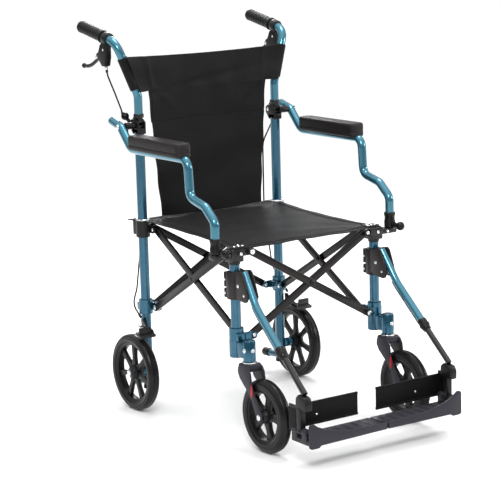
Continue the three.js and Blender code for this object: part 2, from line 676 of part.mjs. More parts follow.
function casterFork(s) {
  const { x, swivel, axle, z } = casterPlace(s);
  const inside = CASTER.wide / 2 + 1.2;
  const outside = inside + 6;
  const crownLow = CASTING.low - 26;
  const crownTop = CASTING.low - 2 * GAP;
  const leg = [
    [swivel + 22, crownTop - 4], [swivel - 20, crownTop - 4], [swivel - 40, crownLow - 10],
    [axle - 10, z + 30],
    [axle - 13, z - 4], [axle - 6, z - 15], [axle + 7, z - 15], [axle + 14, z - 2], [axle + 22, z + 24],
    [swivel + 6, crownLow - 36], [swivel + 26, crownLow - 8],
  ];
  const crown = block([x - outside, x + outside], [swivel - 22, swivel + 22], [crownLow, crownTop - 4]);
  const bearing = upright(x, swivel, crownTop - 8, crownTop, 17);
  const stem = upright(x, swivel, crownTop - 6, CASTING.low + CASTING.tall - 12, CASTER.stem);
  const axleRod = rod(point(x - outside - 2, axle, z), point(x + outside + 2, axle, z), CASTER.bore, 12);
  const legs = [prismX(leg, [x + inside, x + outside]), prismX(leg, [x - inside, x - outside])];
  return join(crown, bearing, stem, axleRod, ...legs);
}

// ---- Footrests ----
function hangerCorners(s) {
  const end = HANGER_END.clone().addScaledVector(HANGER_DOWN, -4);
  const knee = HANGER_END.clone().addScaledVector(HANGER_DOWN, -134);
  const top = point(HANGER_TOP.x, HANGER_TOP.y, HANGER_TOP.z);
  return [top, knee, end].map((corner) => corner.setX(s * corner.x));
}

function hangerDown(s) {
  return HANGER_DOWN.clone().setX(s * HANGER_DOWN.x);
}

function hangerTube(s) {
  const corners = hangerCorners(s);
  const end = corners[2];
  const tube = bentTube(corners, HANGER_BEND, TUBE_R, 12, 4);
  const at = (place) => end.clone().addScaledVector(hangerDown(s), place);
  const sleeve = rod(at(-HANGER_SLEEVE.behind), at(HANGER_SLEEVE.ahead), HANGER_SLEEVE.r, 12);
  const lip = rod(at(HANGER_SLEEVE.lipFrom), at(HANGER_SLEEVE.lipTo), HANGER_SLEEVE.lip, 12);
  const bore = rod(at(HANGER_SLEEVE.ahead + 2), at(-112), INNER_R + SLIDE, 12);
  return cut(join(tube, sleeve, lip), bore);
}

function footrestCollar(s) {
  const x = s * HALF_X;
  const y = -HALF_Y;
  const { r, low, high, lobe, lobeX } = COLLAR;
  const ring = upright(x, y, low, high, r);
  const lobes = [-1, 1].map((way) => upright(x + way * lobeX, y + r - 2, low + 4, high - 4, lobe, 10));
  const cheek = [
    [y - 6, 356], [y - 30, 338], [y - 72, 338], [y - 76, 352], [y - 52, 426], [y - 40, 432], [y - 6, 424],
  ];
  const middle = s * COLLAR.middle;
  const near = TUBE_R + 2 * GAP;
  const far = near + COLLAR.cheek;
  const cheeks = [
    prismX(cheek, [middle + near, middle + far]),
    prismX(cheek, [middle - near, middle - far]),
  ];
  const web = block([middle - near - 1, middle + near + 1], [y - r - 2, y - r + 11], [low + 2, high - 2]);
  const bore = upright(x, y, low - 24, high + 16, POST_R + 0.69);
  const lane = bentTube(hangerCorners(s), HANGER_BEND, TUBE_R + 0.5, 12, 4);
  return cut(join(ring, ...lobes, ...cheeks, web), bore, lane);
}

function footrestExtension(s) {
  const down = hangerDown(s);
  const end = HANGER_END.clone().setX(s * HANGER_END.x);
  const low = end.clone().addScaledVector(down, 128);
  const inner = rod(end.clone().addScaledVector(down, -90), low, INNER_R, 12);
  const { x0, x1, y0, y1, low: knuckleLow, high: knuckleHigh } = KNUCKLE;
  const knuckle = block([s * x0, s * x1], [y0, y1], [knuckleLow, knuckleHigh]);
  const half = FLIP.half;
  const webXs = [s * (FLIP.x - half), s * (FLIP.x + half)];
  const web = block(webXs, [WEB.y0, WEB.y1], [FLIP.z, knuckleLow + 10]);
  const eye = rod(point(s * FLIP.x, WEB.y0, FLIP.z), point(s * FLIP.x, WEB.y1, FLIP.z), FLIP.r);
  const pin = rod(point(s * FLIP.x, WEB.y0 - 22, FLIP.z), point(s * FLIP.x, WEB.y1 + 18, FLIP.z), PIN_R);
  const strap = block([s * HEEL.inner, s * PLATE.outer], [HEEL.y0, HEEL.y1], [HEEL.low, HEEL.high]);
  const tieXs = [s * (PLATE.outer - 7), s * PLATE.outer];
  const tie = block(tieXs, [y1 - 8, HEEL.y1], [HEEL.high - 16, HEEL.high + 8]);
  const tieEnd = block(tieXs, [y1 - 8, y1], [HEEL.high - 16, knuckleHigh - 20]);
  return join(inner, knuckle, web, eye, pin, tie, tieEnd, strap);
}

function footplate(s) {
  const { front, rear, low, thick, inner, outer, tall } = PLATE;
  const top = low + thick;
  const deck = block([s * inner, s * outer], [front, rear], [low, top]);
  const slope = [
    [inner, low - 2], [inner, low + 18], [outer - 109, low + 22], [outer - 23, tall - 8], [outer - 9, tall],
    [outer, tall - 4], [outer, low - 8], [outer - 29, low - 8],
  ].map(([x, z]) => [s * x, z]);
  const lip = prismY(s > 0 ? slope.reverse() : slope, [front, front + 7]);
  const ears = [[WEB.y0 - 20, WEB.y0 - 1], [WEB.y1 + 1, rear - 1]].map(([a, b]) => join(
    rod(point(s * FLIP.x, a, FLIP.z), point(s * FLIP.x, b, FLIP.z), FLIP.r),
    block([s * (FLIP.x - FLIP.half), s * outer], [a, b], [low + 2, FLIP.z]),
  ));
  const holeEnds = [WEB.y0 - 22.5, HEEL.y1 + 27].map((y) => point(s * FLIP.x, y, FLIP.z));
  const hole = rod(...holeEnds, PIN_R + PIN_GAP);
  return cut(join(deck, lip, ...ears), hole);
}

// ---- Slings ----
function seatHalf(front) {
  const { zFront, zRear, thick, half } = SEAT;
  const rise = (zRear - zFront) / (SEAT.rear - SEAT.front);
  const height = (y) => zFront + rise * (y - SEAT.front);
  const [y0, y1] = front ? [SEAT.front, -GAP] : [GAP, SEAT.rear];
  const side = [[y0, height(y0)], [y1, height(y1)], [y1, height(y1) + thick], [y0, height(y0) + thick]];
  return prismX(side, [-half, half]);
}

function backLower() {
  const { low, step, halfLow, thick } = BACK;
  const y = HALF_Y - 2;
  const top = HINGE.low - 4;
  const halfTop = halfLow + ((BACK.halfStep - halfLow) * (top - low)) / (step - low);
  return prismY([[-halfLow, low], [-halfTop, top], [halfTop, top], [halfLow, low]], [y - thick, y]);
}

function backUpper() {
  const { step, top, halfStep, halfLow, thick, low } = BACK;
  const y = HALF_Y - 2;
  const start = HINGE.low + 2;
  const halfStart = halfLow + ((halfStep - halfLow) * (start - low)) / (step - low);
  const reach = (z) => HALF_X + (z - HANDLE.splayZ) * 0.36 - TUBE_R - 4;
  const side = [[halfStart, start], [halfStep, step], [reach(step + 6), step + 6], [reach(top), top]];
  const mirrored = side.map(([x, z]) => [-x, z]).reverse();
  return prismY([...side, ...mirrored].reverse(), [y - thick, y]);
}

// ---- Assembly ----
const chair = new THREE.Group();
chair.name = 'wheelchair';

function add(name, geometry, material) {
  const mesh = new THREE.Mesh(geometry, material.clone());
  mesh.name = name;
  chair.add(mesh);
}

for (const [side, s] of Object.entries(SIDES)) {
  add(`rear_post_${side}`, rearPost(s), DARK_BLUE);
  add(`rear_lower_bracket_${side}`, rearLowerBracket(s), DARK_BLUE);
  add(`rear_slider_${side}`, rearSlider(s), BLACK_PLASTIC);
  add(`back_hinge_${side}`, backHinge(s), BLACK_STEEL);
  add(`upper_tube_${side}`, upperTube(s), BLUE);
  add(`grip_${side}`, grip(s), RUBBER);
  add(`brake_housing_${side}`, brakeHousing(s), BLACK_PLASTIC);
  add(`brake_lever_${side}`, brakeLever(s), BLACK_STEEL);
  add(`brake_cable_upper_${side}`, cable(s, CABLE_UPPER), RUBBER);
  add(`brake_cable_lower_${side}`, cable(s, CABLE_LOWER), RUBBER);
  add(`brake_arm_${side}`, brakeArm(s), BLACK_STEEL);
  add(`rear_tyre_${side}`, rearTyre(s), RUBBER);
  add(`rear_rim_${side}`, rearRim(s), BLACK_PLASTIC);
  add(`front_corner_${side}`, frontCorner(s), BLACK_STEEL);
  add(`front_post_${side}`, frontPost(s), DARK_BLUE);
  add(`front_lower_bracket_${side}`, frontLowerBracket(s), DARK_BLUE);
  add(`caster_fork_${side}`, casterFork(s), GREY_PLASTIC);
  add(`caster_wheel_${side}`, casterWheel(s), RUBBER);
  add(`arm_tube_${side}`, armTube(s), BLUE);
  add(`arm_pad_${side}`, armPad(s), FABRIC);
  add(`footrest_collar_${side}`, footrestCollar(s), GREY_PLASTIC);
  add(`hanger_tube_${side}`, hangerTube(s), BLUE);
  add(`footrest_extension_${side}`, footrestExtension(s), CHROME);
  add(`footplate_${side}`, footplate(s), GREY_PLASTIC);
}

// Bar a of the front and rear crosses climbs to the left, and bar a of the side crosses climbs forwards.
for (const [name, cross] of Object.entries(CROSSES)) {
  const climbs = cross.axis === 'y' ? 1 : -1;
  add(`cross_bar_${name}_a`, crossBar(cross, 'a', climbs), BLACK_STEEL);
  add(`cross_bar_${name}_b`, crossBar(cross, 'b', -climbs), BLACK_STEEL);
}

add('seat_front', seatHalf(true), FABRIC);
add('seat_rear', seatHalf(false), FABRIC);
add('back_lower', backLower(), FABRIC);
add('back_upper', backUpper(), FABRIC);

chair.position.y = FRAME_SHIFT;

export default chair;
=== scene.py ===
"""Looks for a folding transport wheelchair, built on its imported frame. Metres, +Z up, front towards -Y."""
import math

import bmesh
import bpy
from mathutils import Matrix, Quaternion, Vector


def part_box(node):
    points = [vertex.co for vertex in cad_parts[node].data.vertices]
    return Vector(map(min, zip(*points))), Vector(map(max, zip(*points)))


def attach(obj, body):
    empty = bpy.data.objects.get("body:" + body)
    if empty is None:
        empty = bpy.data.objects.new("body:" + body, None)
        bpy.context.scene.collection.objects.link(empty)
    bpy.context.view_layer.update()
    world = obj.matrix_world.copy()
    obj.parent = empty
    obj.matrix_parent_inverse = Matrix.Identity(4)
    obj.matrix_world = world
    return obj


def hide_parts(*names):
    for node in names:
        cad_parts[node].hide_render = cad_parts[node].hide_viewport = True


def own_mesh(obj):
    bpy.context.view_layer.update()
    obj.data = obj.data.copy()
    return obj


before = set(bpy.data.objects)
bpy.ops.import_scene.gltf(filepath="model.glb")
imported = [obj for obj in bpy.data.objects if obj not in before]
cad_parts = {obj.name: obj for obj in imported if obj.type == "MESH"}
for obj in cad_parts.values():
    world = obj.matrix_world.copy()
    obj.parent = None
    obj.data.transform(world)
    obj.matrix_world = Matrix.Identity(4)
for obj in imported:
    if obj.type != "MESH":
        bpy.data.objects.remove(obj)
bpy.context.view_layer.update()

# ---- Sizes, from the frame and a few driving dimensions ----
SIDES = {"right": -1, "left": 1}
UP = (0, 0, 1)
AHEAD = (0, -1, 0)
BEHIND = (0, 1, 0)


def centre(node):
    low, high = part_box(node)
    return (low + high) / 2


POST_R = 0.0125
TUBE_R = 0.011
HALF_TRACK = centre("front_post_left").x
FRONT_Y = centre("front_post_left").y
REAR_Y = FRONT_Y + 0.415
MID_Y = (FRONT_Y + REAR_Y) / 2

BAR_WIDE = 0.019
BAR_THICK = 0.008
BAR_LOW = 0.264
BAR_HIGH = 0.4686
INSET = {"y": 0.036, "x": 0.031}
STANDOFF = 0.016
LAYER = 0.0044

HINGE_Z = 0.740
HINGE_Y = REAR_Y + 0.016
ARM_X = centre("arm_pad_left").x
ARM_PIVOT = Vector((ARM_X, MID_Y + 0.208, 0.737))
REAR_WHEEL = centre("rear_tyre_left")
CASTER_WHEEL = centre("caster_wheel_left")
CASTER_Y = FRONT_Y - 0.053
HANGER_END = Vector((0.216, MID_Y - 0.396, 0.259))
HANGER_DOWN = Vector((2, -94, -83)).normalized()
GRIP_END = Vector((0.264, MID_Y + 0.383, 0.980))
HEEL_BAND = (0.0845, 0.1415)
HEEL_INNER = 0.028
HANGER_R = 0.0096
CHEEK_X = 0.2095            # middle of the two cheeks that hold the hanger
FOOT_PIN_X = 0.222
FOOT_PIN_Z = 0.090
SEAM_Z = -0.0052            # the arm pad's seam, below the pad's middle
SEAM_HALF = 0.0012
PAD_SKIRT = 0.010           # how far the pad reaches down over its tube
HANDLE_BEND = Vector((0.261, MID_Y + 0.226, 0.948))


def sided(place, s):
    """A place given for the left side, moved to side s."""
    return Vector((s * place[0], place[1], place[2]))


def unit(value):
    """A value kept between nothing and one."""
    return min(max(value, 0), 1)


# ---- Modelling helpers ----
def rod(bm, start, end, radius, sides=32):
    start = Vector(start)
    end = Vector(end)
    along = end - start
    made = bmesh.ops.create_cone(
        bm, cap_ends=True, segments=sides, radius1=radius, radius2=radius, depth=along.length
    )
    turn = along.to_track_quat("Z", "Y").to_matrix().to_4x4()
    place = Matrix.Translation((start + end) / 2) @ turn
    bmesh.ops.transform(bm, matrix=place, verts=made["verts"])
    return made["verts"]


def round_edges(bm, verts, width, segments=3):
    chosen = set(verts)
    edges = {e for v in verts for e in v.link_edges if e.other_vert(v) in chosen}
    sharp = [e for e in edges if len(e.link_faces) == 2 and e.calc_face_angle(0) > 0.5]
    bmesh.ops.bevel(
        bm, geom=sharp, offset=width, segments=segments, profile=0.5,
        affect="EDGES", material=-1, clamp_overlap=True,
    )


def soft_rod(bm, start, end, radius, soft=0.0008, sides=32):
    round_edges(bm, rod(bm, start, end, radius, sides), soft, 2)


def block(bm, xs, ys, zs, soft):
    made = bmesh.ops.create_cube(bm, size=1)
    spans = (xs, ys, zs)
    scale = Matrix.Diagonal([abs(b - a) for a, b in spans] + [1])
    middle = Vector([(a + b) / 2 for a, b in spans])
    bmesh.ops.transform(bm, matrix=Matrix.Translation(middle) @ scale, verts=made["verts"])
    round_edges(bm, made["verts"], soft)


def ball(bm, place, radius):
    made = bmesh.ops.create_uvsphere(bm, u_segments=32, v_segments=20, radius=radius)
    bmesh.ops.translate(bm, vec=Vector(place), verts=made["verts"])


AXES = {"x": (1, 2, 0), "y": (0, 2, 1), "z": (0, 1, 2)}


def thicken(bm, verts, step):
    """Raises a flat outline by a step into a solid, and gives back all its corners."""
    face = bm.faces.new(verts)
    grown = bmesh.ops.extrude_face_region(bm, geom=[face])["geom"]
    raised = [g for g in grown if isinstance(g, bmesh.types.BMVert)]
    bmesh.ops.translate(bm, vec=step, verts=raised)
    return verts + raised


def plate(bm, outline, axis, span, soft):
    """A flat plate whose outline is pairs across the axis, between two places along it."""
    first, second, third = AXES[axis]
    verts = []
    for a, b in outline:
        place = [0.0, 0.0, 0.0]
        place[first] = a
        place[second] = b
        place[third] = span[0]
        verts.append(bm.verts.new(place))
    step = Vector((0, 0, 0))
    step[third] = span[1] - span[0]
    corners = thicken(bm, verts, step)
    faces = {f for v in corners for f in v.link_faces}
    bmesh.ops.recalc_face_normals(bm, faces=list(faces))
    round_edges(bm, corners, soft)


def plate_pair(bm, outline, x, gap, thick, soft):
    """Two like plates on either side of x, each starting at the gap from it."""
    for way in (-1, 1):
        near = x + way * gap
        plate(bm, outline, "x", (near, near + way * thick), soft)


def moved(outline, y, z=0.0):
    """An outline of (y, z) pairs moved to a place."""
    return [(y + a, z + b) for a, b in outline]


def mirrored(profile):
    """A profile and its mirror image on the other side of its middle plane."""
    return profile + [(radius, -along) for radius, along in reversed(profile) if along]


def turned(bm, profile, place, axis, steps, closed=False):
    """A shape turned about an axis from (radius, along) pairs."""
    axis = Vector(axis).normalized()
    side = axis.orthogonal().normalized()
    origin = Vector(place)
    verts = [bm.verts.new(origin + side * r + axis * a) for r, a in profile]
    edges = [bm.edges.new(pair) for pair in zip(verts, verts[1:])]
    if closed:
        edges.append(bm.edges.new((verts[-1], verts[0])))
    before = set(bm.faces)
    bmesh.ops.spin(
        bm, geom=verts + edges, cent=origin, axis=axis, dvec=(0, 0, 0),
        angle=2 * math.pi, steps=steps, use_merge=True, use_duplicate=False,
    )
    faces = [f for f in bm.faces if f not in before]
    touched = list({v for f in faces for v in f.verts})
    bmesh.ops.remove_doubles(bm, verts=touched, dist=1e-6)
    faces = [f for f in bm.faces if f not in before]
    bmesh.ops.recalc_face_normals(bm, faces=faces)


def bends(corners, radius, steps):
    """Straight runs joined by round bends."""
    path = [Vector(corners[0])]
    for before, here, after in zip(corners, corners[1:], corners[2:]):
        back = Vector(before) - Vector(here)
        on = Vector(after) - Vector(here)
        turn = math.pi - back.angle(on)
        reach = min(radius * math.tan(turn / 2), back.length * 0.48, on.length * 0.48)
        start = Vector(here) + back.normalized() * reach
        end = Vector(here) + on.normalized() * reach
        for i in range(steps + 1):
            t = i / steps
            path.append(start.lerp(Vector(here), t).lerp(Vector(here).lerp(end, t), t))
    path.append(Vector(corners[-1]))
    return path


def headings(path):
    ways = []
    for i in range(len(path)):
        before = path[max(i - 1, 0)]
        after = path[min(i + 1, len(path) - 1)]
        inward = (path[i] - before).normalized() if i else Vector((0, 0, 0))
        outward = (after - path[i]).normalized() if i < len(path) - 1 else Vector((0, 0, 0))
        ways.append((inward + outward).normalized())
    return ways


def tube(bm, path, radius, sides, stretch=None):
    """A round bar swept along a path, one ring at each of its points."""
    ways = headings(path)
    made = bmesh.ops.create_circle(bm, cap_ends=True, segments=sides, radius=radius)
    ring = made["verts"]
    if stretch:
        bmesh.ops.scale(bm, vec=Vector(stretch), verts=ring)
    turn = Vector(UP).rotation_difference(ways[0]).to_matrix().to_4x4()
    bmesh.ops.transform(bm, matrix=Matrix.Translation(path[0]) @ turn, verts=ring)
    edges = list({e for v in ring for e in v.link_edges})
    for here, place, old, new in zip(path, path[1:], ways, ways[1:]):
        grown = bmesh.ops.extrude_edge_only(bm, edges=edges)["geom"]
        ring = [g for g in grown if isinstance(g, bmesh.types.BMVert)]
        edges = [g for g in grown if isinstance(g, bmesh.types.BMEdge)]
        edges = [e for e in edges if e.verts[0] in ring and e.verts[1] in ring]
        twist = old.rotation_difference(new).to_matrix().to_4x4()
        move = Matrix.Translation(place) @ twist @ Matrix.Translation(-here)
        bmesh.ops.transform(bm, matrix=move, verts=ring)
    bmesh.ops.contextual_create(bm, geom=edges)


def rivet(bm, place, way, radius, height):
    """A low domed head standing on a face."""
    profile = [
        (0, height), (radius * 0.5, height * 0.85), (radius * 0.85, height * 0.45), (radius, 0),
        (radius, -0.001), (0, -0.001),
    ]
    turned(bm, profile, place, way, steps=20)


def piece(name, bm, material, body, replaces=(), smooth_under=38):
    bmesh.ops.remove_doubles(bm, verts=bm.verts, dist=1e-7)
    bmesh.ops.recalc_face_normals(bm, faces=bm.faces)
    mesh = bpy.data.meshes.new(name)
    bm.to_mesh(mesh)
    bm.free()
    mesh.polygons.foreach_set("use_smooth", [True] * len(mesh.polygons))
    mesh.set_sharp_from_angle(angle=math.radians(smooth_under))
    mesh.materials.append(material)
    obj = bpy.data.objects.new(name, mesh)
    bpy.context.scene.collection.objects.link(obj)
    if replaces:
        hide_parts(*replaces)
    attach(obj, body)
    return obj


def stand_in(name, bm, material, body, smooth_under=38):
    """A piece that takes the place of the frame's node of the same name."""
    return piece(name, bm, material, body, [name], smooth_under)


# ---- Shader groups ----
def linear(text):
    """A screen colour such as 3a7f99 as linear values."""
    parts = [int(text[i:i + 2], 16) / 255 for i in (0, 2, 4)]
    return [p / 12.92 if p < 0.04045 else ((p + 0.055) / 1.055) ** 2.4 for p in parts] + [1]


def new_group(name, inputs, outputs):
    group = bpy.data.node_groups.new(name, "ShaderNodeTree")
    for label, kind, value in inputs:
        socket = group.interface.new_socket(label, in_out="INPUT", socket_type=kind)
        socket.default_value = value
    for label, kind in outputs:
        group.interface.new_socket(label, in_out="OUTPUT", socket_type=kind)
    nodes = group.nodes
    return group, nodes, group.links, nodes.new("NodeGroupInput"), nodes.new("NodeGroupOutput")


def add(nodes, kind, values=None, **settings):
    """A new node, with values for its inputs and settings of its own."""
    node = nodes.new("ShaderNode" + kind)
    for label, value in (values or {}).items():
        node.inputs[label].default_value = value
    for label, value in settings.items():
        setattr(node, label, value)
    return node


def object_noise(nodes, links, values):
    """Noise laid out in the object's own space."""
    place = add(nodes, "TexCoord")
    noise = add(nodes, "TexNoise", values)
    links.new(place.outputs["Object"], noise.inputs["Vector"])
    return noise.outputs["Fac"]


def product(nodes, links, first, second):
    both = add(nodes, "Math", operation="MULTIPLY")
    links.new(first, both.inputs[0])
    links.new(second, both.inputs[1])
    return both.outputs["Value"]


def relief_of(nodes, links, mask, depth, distance, result):
    """Gives out a mask and the relief that it makes."""
    bump = add(nodes, "Bump", {"Distance": distance})
    links.new(depth, bump.inputs["Strength"])
    links.new(mask, bump.inputs["Height"])
    links.new(mask, result.inputs["Mask"])
    links.new(bump.outputs["Normal"], result.inputs["Normal"])


def grain_group():
    """Fine random relief, with a mask of the same grain."""
    group, nodes, links, given, result = new_group(
        "Grain",
        [("Scale", "NodeSocketFloat", 900), ("Depth", "NodeSocketFloat", 0.2)],
        [("Mask", "NodeSocketFloat"), ("Normal", "NodeSocketVector")],
    )
    noise = object_noise(nodes, links, {"Detail": 3})
    links.new(given.outputs["Scale"], noise.node.inputs["Scale"])
    relief_of(nodes, links, noise, given.outputs["Depth"], 0.0006, result)
    return group


def wear_group():
    """A mask of rubbed outer edges, broken up by noise."""
    group, nodes, links, given, result = new_group(
        "Edge wear", [("Amount", "NodeSocketFloat", 0.5)], [("Mask", "NodeSocketFloat")]
    )
    shape = add(nodes, "NewGeometry")
    edge = add(nodes, "MapRange", {"From Min": 0.53, "From Max": 0.62})
    links.new(shape.outputs["Pointiness"], edge.inputs["Value"])
    noise = object_noise(nodes, links, {"Scale": 60, "Detail": 6})
    broken = product(nodes, links, edge.outputs["Result"], noise)
    links.new(product(nodes, links, broken, given.outputs["Amount"]), result.inputs["Mask"])
    return group


def weave_group():
    """Plain weave: threads over and under across two object axes."""
    group, nodes, links, given, result = new_group(
        "Weave",
        [
            ("Threads", "NodeSocketFloat", 900), ("Depth", "NodeSocketFloat", 0.5),
            ("Turn", "NodeSocketVector", (0, 0, 0)),
        ],
        [("Mask", "NodeSocketFloat"), ("Normal", "NodeSocketVector")],
    )
    place = add(nodes, "TexCoord")
    turn = add(nodes, "Mapping")
    links.new(place.outputs["Object"], turn.inputs["Vector"])
    links.new(given.outputs["Turn"], turn.inputs["Rotation"])
    waves = []
    for direction in ("X", "Y"):
        values = {"Distortion": 0.4, "Detail": 1}
        wave = add(nodes, "TexWave", values, wave_type="BANDS", bands_direction=direction)
        links.new(turn.outputs["Vector"], wave.inputs["Vector"])
        links.new(given.outputs["Threads"], wave.inputs["Scale"])
        waves.append(wave.outputs["Fac"])
    relief_of(nodes, links, product(nodes, links, *waves), given.outputs["Depth"], 0.0007, result)
    return group


def dust_group():
    """A mask of dust, heavier on faces that look up."""
    group, nodes, links, given, result = new_group(
        "Dust", [("Amount", "NodeSocketFloat", 0.2)], [("Mask", "NodeSocketFloat")]
    )
    noise = object_noise(nodes, links, {"Scale": 28, "Detail": 8})
    shape = add(nodes, "NewGeometry")
    apart = add(nodes, "SeparateXYZ")
    up = add(nodes, "MapRange", {"From Min": -0.2, "From Max": 1.0})
    links.new(shape.outputs["Normal"], apart.inputs["Vector"])
    links.new(apart.outputs["Z"], up.inputs["Value"])
    patch = product(nodes, links, up.outputs["Result"], noise)
    links.new(product(nodes, links, patch, given.outputs["Amount"]), result.inputs["Mask"])
    return group


GRAIN = grain_group()
WEAR = wear_group()
WEAVE = weave_group()
DUST = dust_group()


# ---- Materials ----
class Finish:
    """A Principled material with the groups that its finish needs."""

    LABELS = {
        "coat": "Coat Weight", "coat_roughness": "Coat Roughness", "specular": "Specular IOR Level",
        "sheen": "Sheen Weight", "sheen_roughness": "Sheen Roughness",
    }

    def __init__(self, name, slot, colour, roughness, metallic=0.0, **more):
        self.material = bpy.data.materials.new(name)
        self.material.use_nodes = True
        self.nodes = self.material.node_tree.nodes
        self.links = self.material.node_tree.links
        self.shader = self.nodes["Principled BSDF"]
        self.set("Base Color", linear(colour))
        self.set("Roughness", roughness)
        self.set("Metallic", metallic)
        for label, value in more.items():
            self.set(self.LABELS[label], value)
        self.colour = None
        self.base = linear(colour)

    def set(self, label, value):
        self.shader.inputs[label].default_value = value

    def group(self, tree, **values):
        node = self.nodes.new("ShaderNodeGroup")
        node.node_tree = tree
        for label, value in values.items():
            node.inputs[label].default_value = value
        return node

    def tint(self, mask, colour):
        """Blends another colour in where the mask is high."""
        mix = self.nodes.new("ShaderNodeMix")
        mix.data_type = "RGBA"
        self.links.new(mask, mix.inputs["Factor"])
        if self.colour is None:
            mix.inputs["A"].default_value = self.base
        else:
            self.links.new(self.colour, mix.inputs["A"])
        mix.inputs["B"].default_value = linear(colour)
        self.colour = mix.outputs["Result"]
        self.links.new(self.colour, self.shader.inputs["Base Color"])

    def relief(self, normal):
        self.links.new(normal, self.shader.inputs["Normal"])

    def aged(self, wear, bare, dust, dirt):
        """Rubbed edges of one colour and a little dust of another, where there is any of each."""
        if wear:
            self.tint(self.group(WEAR, Amount=wear).outputs["Mask"], bare)
        self.tint(self.group(DUST, Amount=dust).outputs["Mask"], dirt)
        return self.material

    def roughen(self, mask, low, high):
        spread = add(self.nodes, "MapRange", {"To Min": low, "To Max": high})
        self.links.new(mask, spread.inputs["Value"])
        self.links.new(spread.outputs["Result"], self.shader.inputs["Roughness"])


def metallic_paint(name, slot, colour, deep):
    look = Finish(name, slot, colour, 0.3, 0.72, coat=0.4, coat_roughness=0.05)
    flake = look.group(GRAIN, Scale=2600, Depth=0.05)
    look.tint(flake.outputs["Mask"], deep)
    look.relief(flake.outputs["Normal"])
    patches = look.group(GRAIN, Scale=9, Depth=0.0)
    look.roughen(patches.outputs["Mask"], 0.12, 0.3)
    return look.aged(0.14, "a4b8c0", 0.012, "a8a59d")


def coated_steel(name, slot, colour, roughness):
    look = Finish(name, slot, colour, roughness, 0.35, coat=0.12, coat_roughness=0.15, specular=0.3)
    grain = look.group(GRAIN, Scale=700, Depth=0.12)
    look.relief(grain.outputs["Normal"])
    look.roughen(grain.outputs["Mask"], roughness - 0.08, roughness + 0.14)
    return look.aged(0.45, "8c8c8f", 0.05, "8d877c")


def moulded(name, slot, colour, roughness, depth=0.25, dusty=0.04):
    look = Finish(name, slot, colour, roughness, specular=0.24)
    grain = look.group(GRAIN, Scale=1100, Depth=depth)
    look.relief(grain.outputs["Normal"])
    look.roughen(grain.outputs["Mask"], roughness - 0.1, roughness + 0.12)
    return look.aged(0.3, "5c5c60", dusty, "6f6b64")


def bright_metal(name, slot, colour, roughness, coat=0.0):
    look = Finish(name, slot, colour, roughness, 1.0, coat=coat, coat_roughness=0.04)
    streaks = look.group(GRAIN, Scale=160, Depth=0.03)
    look.relief(streaks.outputs["Normal"])
    look.roughen(streaks.outputs["Mask"], roughness * 0.6, roughness * 1.6)
    return look.aged(0, "", 0.08, "9b9a94")


def nylon(name, slot, colour, thread, turn=(0, 0, 0), threads=420):
    look = Finish(name, slot, colour, 0.6, sheen=0.03, sheen_roughness=0.4, specular=0.16)
    weave = look.group(WEAVE, Threads=threads, Depth=0.55, Turn=turn)
    look.tint(weave.outputs["Mask"], thread)
    look.relief(weave.outputs["Normal"])
    cloud = look.group(GRAIN, Scale=14, Depth=0.0)
    look.roughen(cloud.outputs["Mask"], 0.46, 0.66)
    return look.aged(0.2, "3b3c40", 0.035, "5d5a54")


FRAME_BLUE = metallic_paint("Light blue metallic", "blue_frame", "5494a8", "1f566b")
POST_BLUE = metallic_paint("Steel blue metallic", "post_blue", "1a6480", "0a3c50")
BLACK_STEEL = coated_steel("Black coated steel", "black_steel", "0b0a0b", 0.26)
BAR_STEEL = coated_steel("Brown black bar steel", "black_steel", "100c0b", 0.22)
BLACK_PLASTIC = moulded("Black moulding", "black_plastic", "09090a", 0.34)
GREY_PLASTIC = moulded("Grey moulding", "grey_plastic", "25252d", 0.38)
BROWN_PLASTIC = moulded("Brown grey moulding", "grey_plastic", "211b1b", 0.34)
GLOSS_BLACK = moulded("Glossy black knob", "black_plastic", "070708", 0.16, 0.05, 0.04)
GRIP_RUBBER = moulded("Grip rubber", "rubber", "0b0b0c", 0.42, 0.45, 0.04)
TYRE_RUBBER = moulded("Tyre rubber", "tyre", "080808", 0.27, 0.22, 0.07)
CHROME = bright_metal("Smoked polished tube", "bright_tube", "1d1b1b", 0.07, 1.0)
ZINC = bright_metal("Zinc rivet", "bright_tube", "e2e4e6", 0.24)
REFLECTOR = moulded("Red reflector", "grey_plastic", "b3141f", 0.16, 0.1, 0.03)
SEAT_CLOTH = nylon("Seat nylon", "sling", "09090b", "131316")
BACK_CLOTH = nylon("Back nylon", "sling", "08080a", "111215", (math.pi / 2, 0, 0))
HEM_TAPE = nylon("Hem tape", "sling", "060607", "101011", (math.pi / 2, 0, 0), 260)
PAD_SKIN = moulded("Arm pad skin", "padding", "171213", 0.5, 0.6)
THREAD = moulded("Stitching thread", "sling", "0e0e10", 0.7, 0.2, 0.02)


